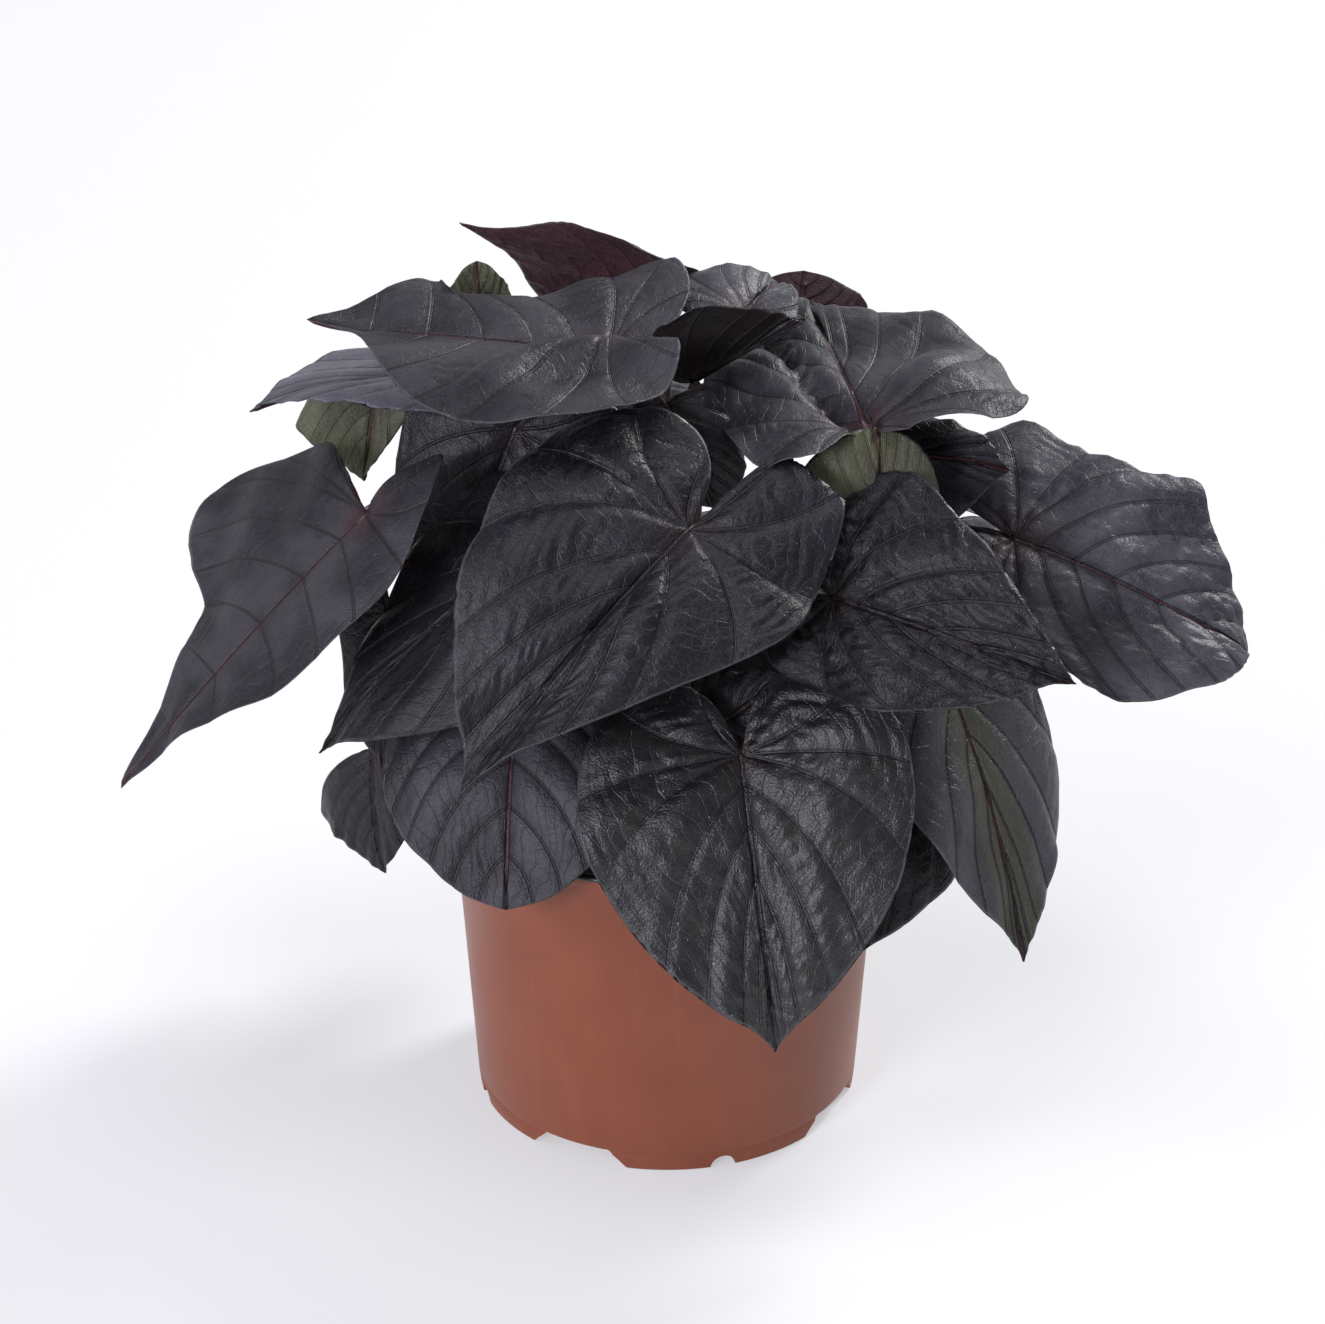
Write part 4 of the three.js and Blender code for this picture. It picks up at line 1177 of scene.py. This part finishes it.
# %% [markdown]
# ## The pot
# A nursery pot is pressed from a thin two-layer sheet: terracotta outside, black inside. It is
# round, so half of its section is turned about the axis. The feet, the air gaps and the drain
# holes are then cut out with Boolean modifiers, as a punch would, and applied.

# %% The section of the pot
POT_SIDES = 192
POT_FOOT, POT_RISE = 58, 7 / 103  # outer radius at the floor, and how much the wall leans out
SHEET = 1.4  # thickness of the pressed sheet
LIP_RADIUS, LIP_AT = 1.45, (63.85, 101.55)


def around(radius, turn):
    """A point on a circle."""
    return radius * math.cos(turn), radius * math.sin(turn)


def wall(z):
    """Outer radius of the pot at height z, in millimetres."""
    return POT_FOOT + POT_RISE * z


def lip(steps=8):
    """The rolled lip, from the outer wall over the top to the inner wall."""
    points = [(wall(98.6), 98.6), (wall(99.3) + 0.12, 99.3), (65.25, 99.9)]
    for i in range(steps + 1):
        out, up = around(LIP_RADIUS, math.pi * i / steps)
        points.append((LIP_AT[0] + out, LIP_AT[1] + up))
    return points + [(wall(96) - SHEET, 96)]


def pot_section():
    """Closed section (radius, height), from the middle of the underside round to the base plate."""
    outside = [(0, 6), (51.2, 6), (51.85, 5.6), (52, 0.5), (52.4, 0), (57.3, 0), (57.85, 0.5)]
    step = [(wall(4.6), 4.6), (wall(5.1) - 0.3, 5.2), (wall(5.7) - 0.3, 5.8), (wall(6.4), 6.4)]
    rings = [(wall(z), z) for z in (7.4, 20, 35, 50, 65, 80, 92)]
    inside = [(wall(z) - SHEET, z) for z in (80, 60, 40, 20, 9.6)]
    corner = [(wall(8) - 2.1, 7.9), (wall(7) - 3.2, 7.4), (0, 7.4)]
    return outside + step + rings + lip() + inside + corner


print("points in the pot's section:", len(pot_section()))

# %% Turning and cutting
def turned(name, section, sides):
    """A closed section turned about the pot's axis; a point on the axis stays one vertex."""
    grid = bmesh.new()
    rings = []
    for radius, z in section:
        count = sides if radius > 0 else 1
        places = [(POT_AXIS + (*around(radius, 2 * math.pi * k / sides), z)) * MM for k in range(count)]
        rings.append([grid.verts.new(place) for place in places] * (sides // count))
    for low, high in zip(rings, rings[1:]):
        for k in range(sides):
            corners = [low[k - 1], low[k], high[k], high[k - 1]]
            grid.faces.new([c for i, c in enumerate(corners) if c != corners[i - 1]])
    return from_bmesh(name, grid)


def from_bmesh(name, grid):
    """An object at the origin from a bmesh, its faces turned outward."""
    bmesh.ops.recalc_face_normals(grid, faces=grid.faces)
    mesh = bpy.data.meshes.new(name)
    grid.to_mesh(mesh)
    grid.free()
    return linked(name, mesh)


def prism(grid, outline, inner, outer, turn):
    """A bar with the given outline (across, height) that runs outward from inner to outer."""
    out = Vector((*around(1, turn), 0))
    across = Vector((-out.y, out.x, 0))
    centre = Vector(POT_AXIS)
    ends = [
        [grid.verts.new((centre + out * r + across * x + Vector((0, 0, z))) * MM) for x, z in outline]
        for r in (inner, outer)
    ]
    grid.faces.new(ends[0])
    grid.faces.new(ends[1][::-1])
    for i in range(len(outline)):
        grid.faces.new([ends[0][i - 1], ends[1][i - 1], ends[1][i], ends[0][i]])


made(turned, from_bmesh, prism)

# %% Feet, notches and drain holes
FIRST_FOOT = rad(-73)
FEET_FROM, FEET_TO = 40, 70  # how far out the cutters start and end
NOTCH_RADIUS, DRAIN_RADIUS, DRAIN_RING = 4, 4.5, 30


def foot_cutters():
    """The air gaps between the four feet, and the water notch in the middle of each foot."""
    grid = bmesh.new()
    gap = [(-17, -1), (-14, 2.5), (-10.9, 5.5), (-10.4, 5.9)]
    gap += [(-across, height) for across, height in gap[::-1]]
    notch = [around(NOTCH_RADIUS, a) for a in np.linspace(0, math.pi, 13)]
    notch += [(-NOTCH_RADIUS, -1), (NOTCH_RADIUS, -1)]
    for k in range(4):
        turn = FIRST_FOOT + k * math.pi / 2
        prism(grid, notch, FEET_FROM, FEET_TO, turn)
        prism(grid, gap, FEET_FROM, FEET_TO, turn + math.pi / 4)
    return from_bmesh("foot_cutters", grid)


def drain_cutters():
    """One drain hole in the middle of the base plate and eight around it."""
    grid = bmesh.new()
    turns = np.radians(np.arange(0, 360, 45) + 17)
    radius = DRAIN_RADIUS * MM
    for x, y in [(0, 0)] + [around(DRAIN_RING, a) for a in turns]:
        hole = bmesh.ops.create_cone(
            grid, cap_ends=True, segments=32, radius1=radius, radius2=radius, depth=8 * MM
        )
        bmesh.ops.translate(grid, verts=hole["verts"], vec=(POT_AXIS + (x, y, 6)) * MM)
    return from_bmesh("drain_cutters", grid)


pot = turned("nursery_pot", pot_section(), POT_SIDES)
for cutter in (foot_cutters(), drain_cutters()):
    cut = pot.modifiers.new(cutter.name, "BOOLEAN")
    cut.operation, cut.solver, cut.object = "DIFFERENCE", "EXACT", cutter
applied(pot)
for cutter in ("foot_cutters", "drain_cutters"):
    bpy.data.objects.remove(bpy.data.objects[cutter])
pot.data.shade_smooth()
pot.data.set_sharp_from_angle(angle=rad(32))
print("pot faces:", len(pot.data.polygons))

# %% [markdown]
# The two layers of the sheet are told apart by where a face is: whatever looks inward or up from
# inside the pot is black, and the rest is terracotta. Real pressed sheet isn't perfectly even: it
# has a soft sheen, drawn streaks that run up the wall, faint dust and fine scuffs.

# %% Terracotta and black plastic
def sheet_plastic(name, tones, roughness, dust):
    """Pressed sheet: two close tones in patches, with streaks and specks of dust."""
    material, wires, shader = node_material(name)
    place = wires.object_place()
    streak = wires.noise(wires.object_place((260.0, 260.0, 14.0)), 1.0)
    patch = wires.noise(place, 34.0, 4.0)
    fine = wires.noise(place, 2600.0, 2.0)
    colour = wires.mix(wires.step(patch, 0.3, 0.7), *tones)
    colour = wires.mix(wires.times(wires.step(streak, 0.55, 0.8), 0.12), colour, dust)
    colour = wires.mix(wires.dots(place, 230.0, 0.03, 0.07, 0.5), colour, dust)
    height = wires.math("ADD", wires.times(fine, 0.02), wires.times(streak, 0.03))
    uneven = wires.times(wires.math("SUBTRACT", patch, 0.5), 0.25)
    wires.paint(shader, colour, height, wires.math("ADD", roughness, uneven))
    return material


CLAY_TONES = (0.185, 0.04, 0.014), (0.213, 0.05, 0.019)
BLACK_TONES = (0.012, 0.012, 0.013), (0.02, 0.02, 0.021)
TERRACOTTA = sheet_plastic("terracotta_plastic", CLAY_TONES, 0.4, (0.3, 0.11, 0.06))
BLACK = sheet_plastic("black_plastic", BLACK_TONES, 0.32, (0.08, 0.08, 0.08))
INSIDE, PLATE_TOP, LIP_BLACK = 0.9, 7, 101.2  # depth under the outer wall, and two heights
pot.data.materials.clear()
pot.data.materials.append(TERRACOTTA)
pot.data.materials.append(BLACK)
for face in pot.data.polygons:
    x, y, z = np.array(face.center) / MM - POT_AXIS
    radius = math.hypot(x, y)
    inward = (face.normal.x * x + face.normal.y * y) / max(radius, 1)
    inner = radius < wall(z) - INSIDE and z > PLATE_TOP and (inward < 0 or face.normal.z > 0.5)
    face.material_index = 1 if inner or z > LIP_BLACK else 0
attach(pot, "root")
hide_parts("pot")
print("black faces:", sum(face.material_index for face in pot.data.polygons))

# %% [markdown]
# ## The soil
# Peat is a heap of crumbs. The body of the soil is one closed turned shape with a lumpy top, and
# Geometry Nodes then scatter crumbs over that top: many dark ones, a few pale flakes of bark and
# perlite. A crumb is only an icosahedron, so thousands stay cheap, and its size, turn and tone are
# random with a fixed seed.

# %% The body of the soil
SOIL_TOP, SOIL_FLOOR = 90.1, 7.7


def soil_body(sides=120, rings=44):
    """A closed round body with a lumpy top, in metres."""
    section = [(0, SOIL_FLOOR), (wall(9) - 4, SOIL_FLOOR)]
    section += [(wall(z) - 1.8, z) for z in (10, 50, 88)]
    section += [((wall(91) - 1.9) * (1 - i / rings), SOIL_TOP) for i in range(rings + 1)]
    piece = turned("peat", section, sides)
    for vertex in piece.data.vertices:
        x, y, z = np.array(vertex.co) / MM - POT_AXIS
        if z > SOIL_TOP - 1:
            lumps = 1.1 * float(wobble(x, y, 5, 16)) + 0.7 * float(wobble(x, y, 6, 5.5))
            radius = math.hypot(x, y)
            vertex.co.z = (SOIL_TOP + lumps * min(1, (63 - radius) / 6) - 0.5 * (radius > 60)) * MM
    piece.data.shade_smooth()
    return piece


print("soil:", round(SOIL_TOP - SOIL_FLOOR, 1), "mm deep")

# %% Crumbs
def crumb_tree():
    """Scatters crumbs on the faces that look up."""
    inputs = [("Per Square Metre", "Float", 90000.0), ("Size", "Float", 0.0011), ("Seed", "Int", 3)]
    wires, start = new_tree("crumbs", inputs)

    def random(kind, seed, *limits, output=0):
        inputs = {"Seed": seed, **dict(enumerate(limits))}
        return wires.node("FunctionNodeRandomValue", inputs, output, data_type=kind)

    normal = wires.node("GeometryNodeInputNormal")
    upward = wires.node("ShaderNodeSeparateXYZ", {0: normal}, output=2)
    spread = {
        "Mesh": start["Geometry"],
        "Selection": wires.node("FunctionNodeCompare", {0: upward, 1: 0.6}, operation="GREATER_THAN"),
        "Density": start["Per Square Metre"],
        "Seed": start["Seed"],
    }
    spots = wires.node("GeometryNodeDistributePointsOnFaces", spread)
    tone = {"Geometry": spots, "Name": "tone", "Value": random("FLOAT", 11, output=1)}
    toned = wires.node("GeometryNodeStoreNamedAttribute", tone, data_type="FLOAT", domain="POINT")
    stretch = random("FLOAT_VECTOR", 7, (0.25, 0.25, 0.25), (1.5, 1.0, 0.7))
    placing = {
        "Points": toned,
        "Instance": wires.node("GeometryNodeMeshIcoSphere", {"Radius": 1.0, "Subdivisions": 1}),
        "Rotation": random("FLOAT_VECTOR", 5, (0, 0, 0), (6.28, 6.28, 6.28)),
        "Scale": wires.node(
            "ShaderNodeVectorMath", {0: stretch, "Scale": start["Size"]}, operation="SCALE"
        ),
    }
    return close_tree(wires, start, wires.node("GeometryNodeInstanceOnPoints", placing))


made(crumb_tree)

# %% Peat, seen close
def peat_skin(name, dark, pale, share):
    """Dark peat; a crumb whose tone is above share is a pale flake."""
    material, wires, shader = node_material(name)
    lumps = wires.noise(wires.object_place(), 500.0, 5.0)
    colour = wires.mix(wires.step(lumps, 0.3, 0.7), dark, [3 * c for c in dark])
    flake = wires.step(wires.number("tone"), share, share + 0.02)
    wires.paint(shader, wires.mix(flake, colour, pale), wires.times(lumps, 0.9), 0.92)
    return material


PEAT = peat_skin("peat", (0.012, 0.008, 0.006), (0.16, 0.12, 0.08), 0.93)
soil = soil_body()
soil.data.materials.append(PEAT)
crumbs = linked("peat_crumbs", soil.data.copy())
grown(crumbs, crumb_tree(), {"Material": PEAT})
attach(soil, "root")
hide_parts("soil")
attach(crumbs, "root")
print("crumbs:", len(crumbs.data.vertices) // 12)

# %% [markdown]
# ## Hand the scene over
# The box of the finished plant and the box of its solids are both printed. The box of the finished
# plant must stay close to the box of its solids.

# %% Finish
boxes = {"cad": cad_box, "visual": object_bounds()}
for key, box in boxes.items():
    print(key, [[round(c, 4) for c in corner] for corner in box])
